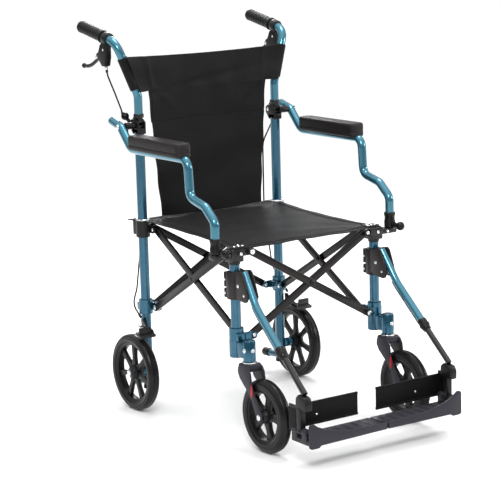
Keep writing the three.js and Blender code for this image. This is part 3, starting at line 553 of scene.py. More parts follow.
# ---- Posts ----
def rear_post(side, s):
    """The rear post with its stub axle, bolt and tipping lever."""
    x = s * HALF_TRACK
    hub = sided(REAR_WHEEL, s)
    foot = 0.048
    bm = bmesh.new()
    tube(bm, [Vector((x, REAR_Y, foot)), Vector((x, REAR_Y, 0.719))], POST_R, 40)
    soft_rod(bm, (s * (HALF_TRACK + 0.004), hub.y, hub.z), (s * 0.2415, hub.y, hub.z), 0.012)
    rod(bm, (x, REAR_Y + 0.010, 0.062), (x, REAR_Y + 0.056, 0.060), 0.009)
    stand_in(f"rear_post_{side}", bm, POST_BLUE, f"rear_frame_{side}")
    cap = bmesh.new()
    soft_rod(cap, (x, REAR_Y + 0.048, 0.0603), (x, REAR_Y + 0.0755, 0.059), 0.0113, 0.003)
    soft_rod(cap, (x, REAR_Y, foot - 0.002), (x, REAR_Y, foot + 0.008), 0.0135, 0.0015)
    piece(f"tipping_lever_cap_{side}", cap, BLACK_PLASTIC, f"rear_frame_{side}")
    nut = bmesh.new()
    soft_rod(nut, (s * 0.2745, hub.y, hub.z), (s * 0.2795, hub.y, hub.z), 0.0088, 0.001, 6)
    rod(nut, (s * 0.241, hub.y, hub.z), (s * 0.275, hub.y, hub.z), 0.0058)
    piece(f"axle_bolt_{side}", nut, ZINC, f"rear_frame_{side}")


def front_post(side, s):
    x = s * HALF_TRACK
    bm = bmesh.new()
    low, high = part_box(f"front_post_{side}")
    bore = 0.0103
    profile = [
        (POST_R, low.z), (POST_R, high.z - 0.001), (POST_R - 0.001, high.z), (bore, high.z), (bore, low.z),
    ]
    turned(bm, profile, (x, FRONT_Y, 0), UP, 40, closed=True)
    stand_in(f"front_post_{side}", bm, POST_BLUE, f"front_frame_{side}")


# ---- Crossed bars ----
CROSSES = {
    "rear": {"axis": "y", "line": REAR_Y, "off": 1, "half": HALF_TRACK, "middle": 0},
    "front": {"axis": "y", "line": FRONT_Y, "off": -1, "half": HALF_TRACK, "middle": 0},
    "right": {"axis": "x", "line": -HALF_TRACK, "off": 1, "half": 0.2075, "middle": MID_Y},
    "left": {"axis": "x", "line": HALF_TRACK, "off": -1, "half": 0.2075, "middle": MID_Y},
}


def depth_of(cross, layer):
    """Where the middle of a bar's thickness lies, so that two bars pass each other."""
    shift = LAYER if layer == "b" else -LAYER
    return cross["line"] + cross["off"] * (STANDOFF + shift)


def on_cross(cross, along, z, depth):
    place = along + cross["middle"]
    return Vector((place, depth, z)) if cross["axis"] == "y" else Vector((depth, place, z))


def face_of(cross):
    """The way that a cross's flat bars face."""
    return Vector(BEHIND) if cross["axis"] == "y" else Vector((1, 0, 0))


def reach_of(cross):
    """How far from the middle its bars' end pivots are."""
    return cross["half"] - INSET[cross["axis"]]


def bar(name, layer, climbs):
    """One flat bar with round ends, rising to the +side where climbs is 1, and the pin of its cross."""
    cross = CROSSES[name]
    reach = climbs * reach_of(cross)
    depth = depth_of(cross, layer)
    low = on_cross(cross, -reach, BAR_LOW, depth)
    high = on_cross(cross, reach, BAR_HIGH, depth)
    along = (high - low).normalized()
    across = face_of(cross)
    wide = along.cross(across).normalized()
    bm = bmesh.new()
    half = BAR_WIDE / 2
    corners = []
    for way, end in ((1, high), (-1, low)):
        for i in range(13):
            turn = math.pi * (i / 12 - 0.5)
            corners.append(end + (along * math.cos(turn) + wide * math.sin(turn)) * half * way)
    verts = [bm.verts.new(c - across * BAR_THICK / 2) for c in corners]
    round_edges(bm, thicken(bm, verts, across * BAR_THICK), 0.0018, 3)
    body = f"bar_{name}_{layer}"
    stand_in(f"cross_bar_{name}_{layer}", bm, BAR_STEEL, body)
    if layer == "a":
        pin = bmesh.new()
        middle = on_cross(cross, 0, (BAR_LOW + BAR_HIGH) / 2, depth)
        out = across * cross["off"]
        soft_rod(pin, middle, middle + out * 0.0155, 0.0052, 0.0008)
        rivet(pin, middle + out * 0.0152, out, 0.0062, 0.0016)
        rivet(pin, middle - out * 0.004, -out, 0.0062, 0.0016)
        piece(f"cross_pin_{name}", pin, BLACK_STEEL, body)


def ear(bm, heads, name, layer, way, z):
    """A lug and its web on a bracket, with the rivet that holds one bar's end."""
    cross = CROSSES[name]
    other = "b" if layer == "a" else "a"
    depth = depth_of(cross, other)
    half = BAR_THICK / 2 - 0.0004
    along = way * reach_of(cross)
    post = way * cross["half"]
    out = face_of(cross)
    pivot = on_cross(cross, along, z, depth)
    radius = 0.0095
    soft_rod(bm, pivot - out * half, pivot + out * half, radius, 0.001)
    runs = (along + cross["middle"], post + cross["middle"] - way * 0.006)
    depths = (depth - half, depth + half)
    zs = (z - radius, z + radius)
    root_runs = (post + cross["middle"] - 0.012, post + cross["middle"] + 0.012)
    root_depths = (cross["line"], depth + cross["off"] * half)
    if cross["axis"] == "y":
        block(bm, runs, depths, zs, 0.001)
        block(bm, root_runs, root_depths, zs, 0.0015)
    else:
        block(bm, depths, runs, zs, 0.001)
        block(bm, root_depths, root_runs, zs, 0.0015)
    towards = out * (-cross["off"] if layer == "a" else cross["off"])
    bar_face = on_cross(cross, along, z, depth_of(cross, layer)) + towards * (BAR_THICK / 2)
    rod(heads, pivot, bar_face + towards * 0.001, 0.0038)
    soft_rod(heads, bar_face + towards * 0.0007, bar_face + towards * 0.0017, 0.0066, 0.0003)
    rivet(heads, bar_face + towards * 0.0017, towards, 0.0048, 0.0017)
    rivet(heads, pivot - towards * half, -towards, 0.0048, 0.0016)


def bracket(name, end, layers, line, way, z, zs, paint, body, side, s, more=None):
    """A sleeve on a post with two ears, one for each cross that meets there."""
    bm = bmesh.new()
    heads = bmesh.new()
    sleeve = [
        (0.0132, zs[0]), (0.017, zs[0]), (0.018, zs[0] + 0.001), (0.018, zs[1] - 0.001), (0.017, zs[1]),
        (0.0132, zs[1]),
    ]
    turned(bm, sleeve, (s * HALF_TRACK, line, 0), UP, 40, closed=True)
    ear(bm, heads, end, layers[0], s, z)
    ear(bm, heads, side, layers[1], way, z)
    if more:
        more(bm, heads)
    stand_in(f"{name}_{side}", bm, paint, body)
    piece(f"{name}_rivets_{side}", heads, ZINC, body)


def rear_lower_bracket(side, s):
    layers = ("a", "a") if s < 0 else ("b", "a")
    bracket("rear_lower_bracket", "rear", layers, REAR_Y, 1, BAR_LOW, (0.246, 0.284), POST_BLUE,
            f"rear_frame_{side}", side, s)


def rear_slider(side, s):
    layers = ("b", "b") if s < 0 else ("a", "b")
    x = s * HALF_TRACK

    def tab(bm, heads):
        block(bm, (x - 0.0110, x + 0.0110), (REAR_Y + 0.014, REAR_Y + 0.032), (0.452, 0.49), 0.002)
        for z in (0.462, 0.480):
            rivet(heads, (x, REAR_Y + 0.032, z), BEHIND, 0.0035, 0.0014)

    bracket("rear_slider", "rear", layers, REAR_Y, 1, BAR_HIGH, (0.448, 0.492), BLACK_PLASTIC,
            f"slider_{side}", side, s, tab)


def front_lower_bracket(side, s):
    layers = ("a", "b") if s < 0 else ("b", "b")
    x = s * HALF_TRACK

    def casting(bm, heads):
        cup = [
            (0.0086, 0.2125), (0.0145, 0.2125), (0.0155, 0.2135), (0.0155, 0.258), (0.0135, 0.262),
            (0, 0.262), (0, 0.256), (0.0086, 0.256),
        ]
        turned(bm, cup, (x, CASTER_Y, 0), UP, 40)
        block(bm, (x - 0.0115, x + 0.0115), (CASTER_Y + 0.010, FRONT_Y - 0.012), (0.216, 0.254), 0.003)
        shoe = [(0.0132, 0.2125), (0.0175, 0.2125), (0.0185, 0.2145), (0.0185, 0.252), (0.0132, 0.252)]
        turned(bm, shoe, (x, FRONT_Y, 0), UP, 40, closed=True)
        rivet(heads, (x + s * 0.0152, CASTER_Y, 0.238), (s, 0, 0), 0.0058, 0.003)
        rivet(heads, (x, CASTER_Y - 0.0152, 0.238), AHEAD, 0.0052, 0.0028)

    bracket("front_lower_bracket", "front", layers, FRONT_Y, -1, BAR_LOW, (0.246, 0.284), POST_BLUE,
            f"front_frame_{side}", side, s, casting)


def front_corner(side, s):
    """The block at the seat's front corner, with the slip tube and the lug that the arm stands on."""
    layers = ("b", "a") if s < 0 else ("a", "a")
    x = s * HALF_TRACK
    body = f"corner_{side}"
    bm = bmesh.new()
    heads = bmesh.new()
    block(bm, (x - 0.0168, x + 0.0168), (FRONT_Y - 0.0168, FRONT_Y + 0.0168), (0.446, 0.477), 0.0025)
    soft_rod(bm, (x, FRONT_Y, 0.440), (x, FRONT_Y, 0.447), 0.0145, 0.001)
    block(
        bm, (x + s * 0.008, s * (ARM_X + 0.0128)), (FRONT_Y - 0.0138, FRONT_Y + 0.0138),
        (0.456, 0.4689), 0.003,
    )
    ear(bm, heads, "front", layers[0], s, BAR_HIGH)
    ear(bm, heads, side, layers[1], -1, BAR_HIGH)
    rivet(heads, (x - s * 0.004, FRONT_Y - 0.0245, 0.4665), AHEAD, 0.0042, 0.0016)
    rivet(heads, (s * (ARM_X - 0.017), FRONT_Y - 0.0138, 0.4625), AHEAD, 0.0038, 0.0014)
    stand_in(f"front_corner_{side}", bm, BLACK_STEEL, body)
    piece(f"front_corner_rivets_{side}", heads, ZINC, body)
    slip = bmesh.new()
    soft_rod(slip, (x, FRONT_Y, 0.230), (x, FRONT_Y, 0.446), 0.0099, 0.0008, 36)
    piece(f"slip_tube_{side}", slip, BLACK_STEEL, body)


# ---- Back tubes, handles and brakes ----
def handle_path(s):
    """The bent tube's line, from above the hinge up the splayed part to the grip's end."""
    corners = [
        sided((HALF_TRACK, REAR_Y, 0.762), s),
        sided((HALF_TRACK, REAR_Y, 0.812), s),
        sided(HANDLE_BEND, s),
        sided(GRIP_END, s),
    ]
    return bends(corners, 0.045, 12)


def grip_way(s):
    return (sided(GRIP_END, s) - sided(HANDLE_BEND, s)).normalized()


def back_tube(side, s):
    x = s * HALF_TRACK
    body = f"back_tube_{side}"
    bm = bmesh.new()
    tube(bm, handle_path(s), TUBE_R, 36)
    stand_in(f"upper_tube_{side}", bm, FRAME_BLUE, body)
    tongue = bmesh.new()
    outline = [
        (REAR_Y - 0.009, HINGE_Z + 0.003), (HINGE_Y - 0.004, HINGE_Z - 0.0075),
        (HINGE_Y + 0.004, HINGE_Z - 0.0075), (HINGE_Y + 0.0085, HINGE_Z), (HINGE_Y + 0.006, HINGE_Z + 0.009),
        (REAR_Y + 0.010, HINGE_Z + 0.026), (REAR_Y - 0.009, HINGE_Z + 0.026),
    ]
    plate(tongue, outline, "x", (x - 0.0068, x + 0.0068), 0.001)
    collar = [
        (0.0112, 0.756), (0.0128, 0.756), (0.0134, 0.758), (0.0134, 0.764), (0.0125, 0.766),
        (0.0112, 0.766),
    ]
    turned(tongue, collar, (x, REAR_Y, 0), UP, 36, closed=True)
    piece(f"hinge_tongue_{side}", tongue, BLACK_STEEL, body)


def grip(side, s):
    """A ribbed rubber grip, turned in one piece."""
    way = grip_way(s)
    end = sided(GRIP_END, s) + way * 0.0034
    body = f"back_tube_{side}"
    profile = [(0, 0.0062), (0.009, 0.0058), (0.0145, 0.003), (0.0158, -0.001), (0.0158, -0.005)]
    ribs = 8
    pitch = 0.0115
    for i in range(ribs):
        at = -0.007 - i * pitch
        profile += [
            (0.0141, at), (0.0138, at - 0.0016), (0.0152, at - 0.0036),
            (0.0154, at - pitch + 0.0032), (0.0148, at - pitch + 0.001),
        ]
    profile += [
        (0.0166, -0.101), (0.0172, -0.103), (0.0172, -0.1045), (0.0162, -0.106), (0.0113, -0.106),
        (0.0113, 0), (0, 0),
    ]
    bm = bmesh.new()
    turned(bm, profile, end, way, 48)
    stand_in(f"grip_{side}", bm, GRIP_RUBBER, body)


def brake_handle(side, s):
    x = s * GRIP_END.x
    body = f"back_tube_{side}"
    way = grip_way(s)
    bend = sided(HANDLE_BEND, s)

    def at(y):
        return bend + way * ((MID_Y + y - bend.y) / way.y)

    bm = bmesh.new()
    collar = [(0.0113, 0), (0.0148, 0), (0.0158, 0.0015), (0.0158, 0.0185), (0.0148, 0.020), (0.0113, 0.020)]
    turned(bm, collar, at(0.256), way, 40, closed=True)
    outline = [
        (0.258, 0.942), (0.272, 0.950), (0.286, 0.940), (0.295, 0.922), (0.304, 0.917), (0.310, 0.908),
        (0.303, 0.899), (0.292, 0.899), (0.280, 0.886), (0.266, 0.886), (0.259, 0.908),
    ]
    shape = moved(outline, MID_Y)
    plate(bm, shape, "x", (x - 0.009, x - 0.0046), 0.0015)
    plate(bm, shape, "x", (x + 0.0046, x + 0.009), 0.0015)
    core = moved(outline[:4] + [(0.289, 0.905)] + outline[8:], MID_Y)
    plate(bm, core, "x", (x - 0.0052, x + 0.0052), 0.001)
    stand_in(f"brake_housing_{side}", bm, BLACK_PLASTIC, body)
    screws = bmesh.new()
    for way_out in (-1, 1):
        rivet(screws, (x + way_out * 0.009, MID_Y + 0.303, 0.908), (way_out, 0, 0), 0.0038, 0.0013)
        rivet(screws, (x + way_out * 0.009, MID_Y + 0.271, 0.928), (way_out, 0, 0), 0.003, 0.0012)
    rod(screws, (x - 0.009, MID_Y + 0.303, 0.908), (x + 0.009, MID_Y + 0.303, 0.908), 0.0028)
    soft_rod(screws, (x, MID_Y + 0.272, 0.8865), (x, MID_Y + 0.272, 0.877), 0.0042, 0.0008)
    piece(f"brake_screws_{side}", screws, ZINC, body)
    lever = bmesh.new()
    blade = [
        Vector((x, MID_Y + 0.300, 0.909)), Vector((x, MID_Y + 0.318, 0.898)),
        Vector((x, MID_Y + 0.342, 0.886)), Vector((x, MID_Y + 0.362, 0.8805)),
        Vector((x, MID_Y + 0.382, 0.881)),
    ]
    tube(lever, bends(blade, 0.06, 6), 0.0046, 20, (0.8, 1.05, 1))
    ball(lever, (x, MID_Y + 0.383, 0.881), 0.0068)
    soft_rod(lever, (x - 0.0038, MID_Y + 0.303, 0.908), (x + 0.0038, MID_Y + 0.303, 0.908), 0.0078, 0.0008)
    stand_in(f"brake_lever_{side}", lever, BLACK_STEEL, f"hand_lever_{side}")


# Cable routes in millimetres: outwards from the rear post, back from it, and height.
CABLE_UPPER = [(51.5, 64.5, 882), (49.5, 62.5, 862), (37.5, 48.5, 815), (27.5, 38.5, 775), (24.5, 35.5, 757)]
CABLE_LOWER = [
    (17.5, 32.5, 728), (13, 34.5, 700), (-18, 34.5, 650), (-19, 34.5, 470),
    (4, 35, 306), (23, 27, 268), (21.5, -9.5, 239),
]


def cable(side, s, part, route, body):
    """A brake cable along its route, with a ferrule at each end."""
    path = [Vector((s * (HALF_TRACK + x / 1000), REAR_Y + y / 1000, z / 1000)) for x, y, z in route]
    bm = bmesh.new()
    tube(bm, bends(path, 0.06, 8), 0.0021, 14)
    for end, other in ((path[0], path[1]), (path[-1], path[-2])):
        way = (other - end).normalized()
        soft_rod(bm, end, end + way * 0.012, 0.0034, 0.0006, 20)
    stand_in(f"brake_cable_{part}_{side}", bm, BLACK_PLASTIC, body)


def back_hinge(side, s):
    x = s * HALF_TRACK
    body = f"rear_frame_{side}"
    bm = bmesh.new()
    cheek = [
        (REAR_Y - 0.014, 0.716), (REAR_Y + 0.014, 0.716), (HINGE_Y + 0.010, 0.732), (HINGE_Y + 0.010, 0.746),
        (HINGE_Y, 0.752), (REAR_Y - 0.004, 0.752), (REAR_Y - 0.014, 0.744),
    ]
    plate_pair(bm, cheek, x, 0.0073, 0.005, 0.0015)
    block(bm, (x - 0.0123, x + 0.0123), (REAR_Y - 0.0138, REAR_Y + 0.0138), (0.714, 0.7285), 0.002)
    boss_in = s * (HALF_TRACK + 0.0115)
    soft_rod(bm, (boss_in, ARM_PIVOT.y, ARM_PIVOT.z), (s * 0.2535, ARM_PIVOT.y, ARM_PIVOT.z), 0.009, 0.0015)
    rod(bm, (s * 0.252, ARM_PIVOT.y, ARM_PIVOT.z), (s * 0.2775, ARM_PIVOT.y, ARM_PIVOT.z), 0.0039)
    stand_in(f"back_hinge_{side}", bm, BLACK_PLASTIC, body)
    knob = bmesh.new()
    place = Vector((x + s * 0.0215, REAR_Y + 0.031, 0.7585))
    ball(knob, place, 0.0104)
    rod(knob, (x + s * 0.0103, HINGE_Y + 0.006, HINGE_Z), place, 0.0048)
    piece(f"cable_knob_{side}", knob, GLOSS_BLACK, body)
    heads = bmesh.new()
    rivet(heads, (s * 0.2765, ARM_PIVOT.y, ARM_PIVOT.z), (s, 0, 0), 0.0068, 0.0032)
    for way in (-1, 1):
        rivet(heads, (x + way * 0.0122, HINGE_Y, HINGE_Z), (way, 0, 0), 0.0048, 0.0016)
    rod(heads, (x - 0.012, HINGE_Y, HINGE_Z), (x + 0.012, HINGE_Y, HINGE_Z), 0.0038)
    piece(f"back_hinge_rivets_{side}", heads, ZINC, body)


def wheel_brake(side, s):
    """The arm over the rear tyre that the cable pulls down."""
    body = f"wheel_brake_{side}"
    bm = bmesh.new()
    link = [
        (0.181, 0.206), (0.203, 0.215), (0.204, 0.235), (0.192, 0.236), (0.182, 0.224), (0.150, 0.214),
        (0.146, 0.205), (0.152, 0.201),
    ]
    plate(bm, moved(link, MID_Y), "x", (s * 0.2272, s * 0.2315), 0.001)
    shoe = [(0.140, 0.1975), (0.168, 0.2065), (0.166, 0.2125), (0.138, 0.2045)]
    plate(bm, moved(shoe, MID_Y), "x", (s * 0.2272, s * 0.272), 0.001)
    tab = [(0.150, 0.206), (0.1535, 0.207), (0.1535, 0.224), (0.150, 0.224)]
    plate(bm, moved(tab, MID_Y), "x", (s * 0.236, s * 0.270), 0.0008)
    stand_in(f"brake_arm_{side}", bm, BLACK_STEEL, body)
    pin = bmesh.new()
    rod(pin, (s * (HALF_TRACK + 0.010), MID_Y + 0.194, 0.216), (s * 0.2435, MID_Y + 0.194, 0.216), 0.0038)
    rivet(pin, (s * 0.2435, MID_Y + 0.194, 0.216), (s, 0, 0), 0.006, 0.002)
    piece(f"brake_pivot_{side}", pin, ZINC, f"rear_frame_{side}")


# ---- Arms ----
ARM_ROUTE = [
    (-0.2075, 0.474), (-0.2075, 0.546), (-0.168, 0.579), (-0.103, 0.594), (-0.097, 0.685),
    (0.161, 0.685), (0.210, 0.737), (0.252, 0.749),
]


def arm(side, s):
    """The bent arm tube with its boot, its knob and the plug in its rear end."""
    x = s * ARM_X
    body = f"arm_{side}"
    corners = [Vector((x, MID_Y + y, z)) for y, z in ARM_ROUTE]
    bm = bmesh.new()
    tube(bm, bends(corners, 0.028, 8), TUBE_R, 32)
    stand_in(f"arm_tube_{side}", bm, FRAME_BLUE, body)
    boot = bmesh.new()
    profile = [
        (0, 0.4695), (0.0125, 0.4695), (0.0142, 0.471), (0.0142, 0.486), (0.0132, 0.488), (0.0132, 0.498),
        (0.0145, 0.500), (0.0145, 0.506), (0.0135, 0.508), (0.0111, 0.508), (0.0111, 0.49), (0, 0.49),
    ]
    turned(boot, profile, (x, FRONT_Y, 0), UP, 40)
    piece(f"arm_boot_{side}", boot, BLACK_PLASTIC, body)
    knob = bmesh.new()
    rod(knob, (x, FRONT_Y - 0.012, 0.477), (x, FRONT_Y - 0.034, 0.477), 0.0042)
    soft_rod(knob, (x, FRONT_Y - 0.013, 0.477), (x, FRONT_Y - 0.021, 0.477), 0.0075, 0.001)
    ball(knob, (x, FRONT_Y - 0.042, 0.477), 0.0112)
    piece(f"arm_knob_{side}", knob, GLOSS_BLACK, body)
    cap = bmesh.new()
    end = corners[-1]
    way = (corners[-1] - corners[-2]).normalized()
    soft_rod(cap, end - way * 0.006, end + way * 0.0016, 0.0092, 0.0014)
    piece(f"arm_cap_{side}", cap, BLACK_PLASTIC, body)


def arm_pad(side):
    """A moulded foam pad, rounded along its top and bottom edges, with a seam line round its side."""
    low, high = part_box(f"arm_pad_{side}")
    low = low - Vector((0, 0, PAD_SKIRT))
    middle = (low + high) / 2
    half = (high - low) / 2
    bm = bmesh.new()
    made = bmesh.ops.create_cube(bm, size=2)
    bmesh.ops.scale(bm, vec=(half.x, half.y, half.z), verts=made["verts"])
    upright = [e for e in bm.edges if abs(e.verts[0].co.z - e.verts[1].co.z) > half.z]
    bmesh.ops.bevel(bm, geom=upright, offset=0.017, segments=6, profile=0.5, affect="EDGES", material=-1)
    level = [e for e in bm.edges if abs(e.verts[0].co.z - e.verts[1].co.z) < 1e-6]
    rims = [e for e in level if e.calc_face_angle(0) > 1.2]
    bmesh.ops.bevel(bm, geom=rims, offset=0.007, segments=4, profile=0.55, affect="EDGES", material=-1)
    for z in (SEAM_Z + SEAM_HALF, SEAM_Z, SEAM_Z - SEAM_HALF):
        everything = bm.verts[:] + bm.edges[:] + bm.faces[:]
        bmesh.ops.bisect_plane(bm, geom=everything, plane_co=(0, 0, z), plane_no=UP)
    for vert in bm.verts:
        if abs(vert.co.z - SEAM_Z) < 1e-5:
            vert.co.x *= 0.965
            vert.co.y *= 0.993
    bmesh.ops.translate(bm, vec=middle, verts=bm.verts)
    obj = stand_in(f"arm_pad_{side}", bm, PAD_SKIN, f"arm_{side}", 50)


# ---- Wheels ----
def spokes(bm, hub, number, start, half_outline, half_thick, soft):
    """Flat spokes round a hub, from (half width, radius) pairs."""
    outline = [(-wide, radius) for wide, radius in half_outline] + half_outline[::-1]
    for i in range(number):
        turn = Matrix.Rotation(2 * math.pi * i / number + start, 4, "X")
        count = len(bm.verts)
        plate(bm, outline, "x", (-half_thick, half_thick), soft)
        bm.verts.ensure_lookup_table()
        bmesh.ops.transform(bm, matrix=Matrix.Translation(hub) @ turn, verts=bm.verts[count:])


def rear_wheel(side, s):
    """A tyre with two grooves on a rim with seven spokes."""
    hub = sided(REAR_WHEEL, s)
    body = f"rear_wheel_{side}"
    out = Vector((s, 0, 0))
    r = 0.099
    tyre = bmesh.new()
    profile = [
        (0.0805, 0.0135), (0.084, 0.0148), (0.0885, 0.0150), (0.0905, 0.0140), (0.0925, 0.0146),
        (0.0955, 0.0128), (r - 0.0008, 0.0090), (r, 0.0062), (r - 0.0012, 0.0052), (r - 0.0012, 0.0044),
        (r, 0.0036),
    ]
    turned(tyre, mirrored(profile), hub, out, 96, closed=True)
    stand_in(f"rear_tyre_{side}", tyre, TYRE_RUBBER, body)
    rim = bmesh.new()
    band = [(0.0804, 0.0115), (0.0792, 0.0125), (0.0755, 0.0118), (0.0718, 0.0085), (0.0705, 0.0)]
    turned(rim, mirrored(band), hub, out, 96, closed=True)
    core = [
        (0.0062, 0.0148), (0.0125, 0.0148), (0.0145, 0.0138), (0.0165, 0.0095), (0.0195, 0.0075),
        (0.0205, 0.0), (0.0195, -0.0075), (0.0165, -0.0148), (0.0062, -0.0148),
    ]
    turned(rim, core, hub, out, 64, closed=True)
    spokes(rim, hub, 7, 0, [(0.0092, 0.017), (0.0058, 0.040), (0.0085, 0.0735)], 0.0052, 0.0016)
    stand_in(f"rear_rim_{side}", rim, BLACK_PLASTIC, body)


def caster(side, s):
    """The caster's wheel, with grooves in its tyre, and its fork."""
    hub = sided(CASTER_WHEEL, s)
    out = Vector((s, 0, 0))
    roller = f"caster_roller_{side}"
    r = 0.0892
    tyre = bmesh.new()
    profile = [
        (0.063, 0.0135), (0.066, 0.0150), (0.071, 0.0158), (0.073, 0.0150), (0.075, 0.0157), (0.081, 0.0140),
        (0.0835, 0.0118), (0.0843, 0.0110), (0.0857, 0.0098), (r - 0.0014, 0.0082), (r - 0.0024, 0.0076),
        (r - 0.0022, 0.0068), (r - 0.0004, 0.0052), (r, 0.0030), (r - 0.0016, 0.0022), (r - 0.0016, 0.0012),
        (r, 0.0004),
    ]
    turned(tyre, mirrored(profile), hub, out, 96, closed=True)
    piece(f"caster_tyre_{side}", tyre, TYRE_RUBBER, roller)
    disc = bmesh.new()
    band = [(0.0632, 0.0120), (0.060, 0.0130), (0.057, 0.0110), (0.0555, 0.0)]
    turned(disc, mirrored(band), hub, out, 80, closed=True)
    core = [(0.0053, 0.0155), (0.0105, 0.0155), (0.014, 0.0120), (0.0175, 0.0070)]
    turned(disc, mirrored(core), hub, out, 48, closed=True)
    spokes(disc, hub, 5, 0.3, [(0.0105, 0.0155), (0.0075, 0.034), (0.0115, 0.0572)], 0.0058, 0.0018)
    piece(f"caster_rim_{side}", disc, BLACK_PLASTIC, roller, [f"caster_wheel_{side}"])
    caster_fork(side, s, hub)


def caster_fork(side, s, hub):
    """A trailing fork with two curved legs, its steel and its reflectors."""
    x = s * HALF_TRACK
    body = f"caster_{side}"
    fork = bmesh.new()
    top = CASTER_Y
    low = hub.y
    leg = [
        (top + 0.019, 0.197), (top + 0.010, 0.2055), (top - 0.012, 0.2065), (top - 0.024, 0.200),
        (top - 0.031, 0.188), (top - 0.033, 0.174), (top - 0.036, 0.160), (low + 0.014, 0.130),
        (low - 0.004, 0.106), (low - 0.0115, 0.094), (low - 0.0115, 0.084), (low - 0.006, 0.0775),
        (low + 0.004, 0.0765), (low + 0.011, 0.082), (low + 0.015, 0.094), (low + 0.030, 0.124),
        (top - 0.016, 0.146), (top - 0.002, 0.158), (top + 0.012, 0.170), (top + 0.020, 0.184),
    ]
    plate_pair(fork, leg, x, 0.0173, 0.0056, 0.0022)
    block(fork, (x - 0.0215, x + 0.0215), (CASTER_Y - 0.021, CASTER_Y + 0.020), (0.1885, 0.2065), 0.005)
    stand_in(f"caster_fork_{side}", fork, GREY_PLASTIC, body)
    steel = bmesh.new()
    washer = [
        (0, 0.2062), (0.0175, 0.2062), (0.0182, 0.2072), (0.0182, 0.2088), (0.0170, 0.2100),
        (0.0140, 0.2105), (0.0125, 0.2118), (0, 0.2118),
    ]
    turned(steel, washer, (x, CASTER_Y, 0), UP, 40)
    rod(steel, (x, CASTER_Y, 0.206), (x, CASTER_Y, 0.250), 0.0079)
    rod(steel, (x - 0.0235, hub.y, hub.z), (x + 0.0235, hub.y, hub.z), 0.0048)
    for way in (-1, 1):
        soft_rod(
            steel, (x + way * 0.0228, hub.y, hub.z), (x + way * 0.0248, hub.y, hub.z), 0.0078, 0.0008,
            6,
        )
    piece(f"caster_steel_{side}", steel, ZINC, body)
    red = bmesh.new()
    drop = [
        (0, 0.024), (0.0022, 0.017), (0.0036, 0.008), (0.0038, 0.0), (0.0026, -0.0065), (0, -0.0095),
        (-0.0026, -0.0065), (-0.0038, 0.0), (-0.0036, 0.008), (-0.0022, 0.017),
    ]
    plate_pair(red, moved(drop, CASTER_Y - 0.0385, 0.141), x, 0.0226, 0.0016, 0.0006)
    piece(f"caster_reflector_{side}", red, REFLECTOR, body)


# ---- Footrests ----
def hanger_path(s):
    end = HANGER_END - HANGER_DOWN * 0.004
    knee = HANGER_END - HANGER_DOWN * 0.134
    corners = [Vector((0.209, MID_Y - 0.243, 0.423)), knee, end]
    return bends([sided(c, s) for c in corners], 0.12, 10)


def hanger(side, s):
    """The bent tube of a footrest, its strip and collar, and the clamp that carries it."""
    body = f"hanger_{side}"
    bm = bmesh.new()
    tube(bm, hanger_path(s), HANGER_R, 36)
    stand_in(f"hanger_tube_{side}", bm, FRAME_BLUE, body)
    down = sided(HANGER_DOWN, s)
    end = sided(HANGER_END, s)
    strip = bmesh.new()
    path = [place + Vector((0, 0.0072, -0.0092)) for place in hanger_path(s)[2:]]
    tube(strip, path, 0.0042, 16)
    piece(f"hanger_strip_{side}", strip, BLACK_STEEL, body)
    collar = bmesh.new()
    profile = [
        (0.0078, -0.012), (0.0108, -0.012), (0.0116, -0.010), (0.0116, 0.001), (0.0131, 0.002),
        (0.0131, 0.006), (0.0112, 0.008), (0.0104, 0.017), (0.0096, 0.018), (0.0078, 0.018),
    ]
    turned(collar, profile, end, down, 40, closed=True)
    soft_rod(collar, end + Vector((s * 0.008, 0, 0)), end + Vector((s * 0.0142, 0, 0)), 0.0042, 0.001, 20)
    piece(f"hanger_collar_{side}", collar, BLACK_PLASTIC, body)
    swing_collar(side, s, body)


def swing_collar(side, s, body):
    """The moulded clamp that carries the hanger and turns on the front post."""
    x = s * HALF_TRACK
    bm = bmesh.new()
    ring = [
        (0.0135, 0.356), (0.0195, 0.356), (0.021, 0.358), (0.021, 0.420), (0.0195, 0.422),
        (0.0135, 0.422),
    ]
    turned(bm, ring, (x, FRONT_Y, 0), UP, 40, closed=True)
    for across in (x - 0.011, x + 0.011):
        for low, high in ((0.384, 0.420), (0.358, 0.380)):
            soft_rod(bm, (across, FRONT_Y + 0.019, low), (across, FRONT_Y + 0.019, high), 0.007, 0.0015, 24)
    outline = [
        (-0.008, 0.366), (-0.026, 0.358), (-0.056, 0.355), (-0.067, 0.358), (-0.072, 0.368), (-0.064, 0.390),
        (-0.050, 0.424), (-0.042, 0.430), (-0.020, 0.426), (-0.008, 0.421),
    ]
    plate_pair(bm, moved(outline, FRONT_Y), s * CHEEK_X, 0.0117, 0.0046, 0.002)
    block(
        bm, (s * CHEEK_X - 0.0122, s * CHEEK_X + 0.0122), (FRONT_Y - 0.0225, FRONT_Y - 0.014),
        (0.358, 0.421), 0.001,
    )
    stand_in(f"footrest_collar_{side}", bm, BROWN_PLASTIC, body)
    heads = bmesh.new()
    for way in (-1, 1):
        face = s * CHEEK_X + way * 0.0162
        rivet(heads, (face, FRONT_Y - 0.030, 0.392), (way, 0, 0), 0.0048, 0.0018)
        rivet(heads, (face, FRONT_Y - 0.054, 0.372), (way, 0, 0), 0.0035, 0.0014)
    for way in (-1, 1):
        for z in (0.369, 0.402):
            rivet(heads, (x + way * 0.0178, FRONT_Y + 0.019, z), (way, 0, 0), 0.0035, 0.0012)
    piece(f"footrest_collar_rivets_{side}", heads, ZINC, body)


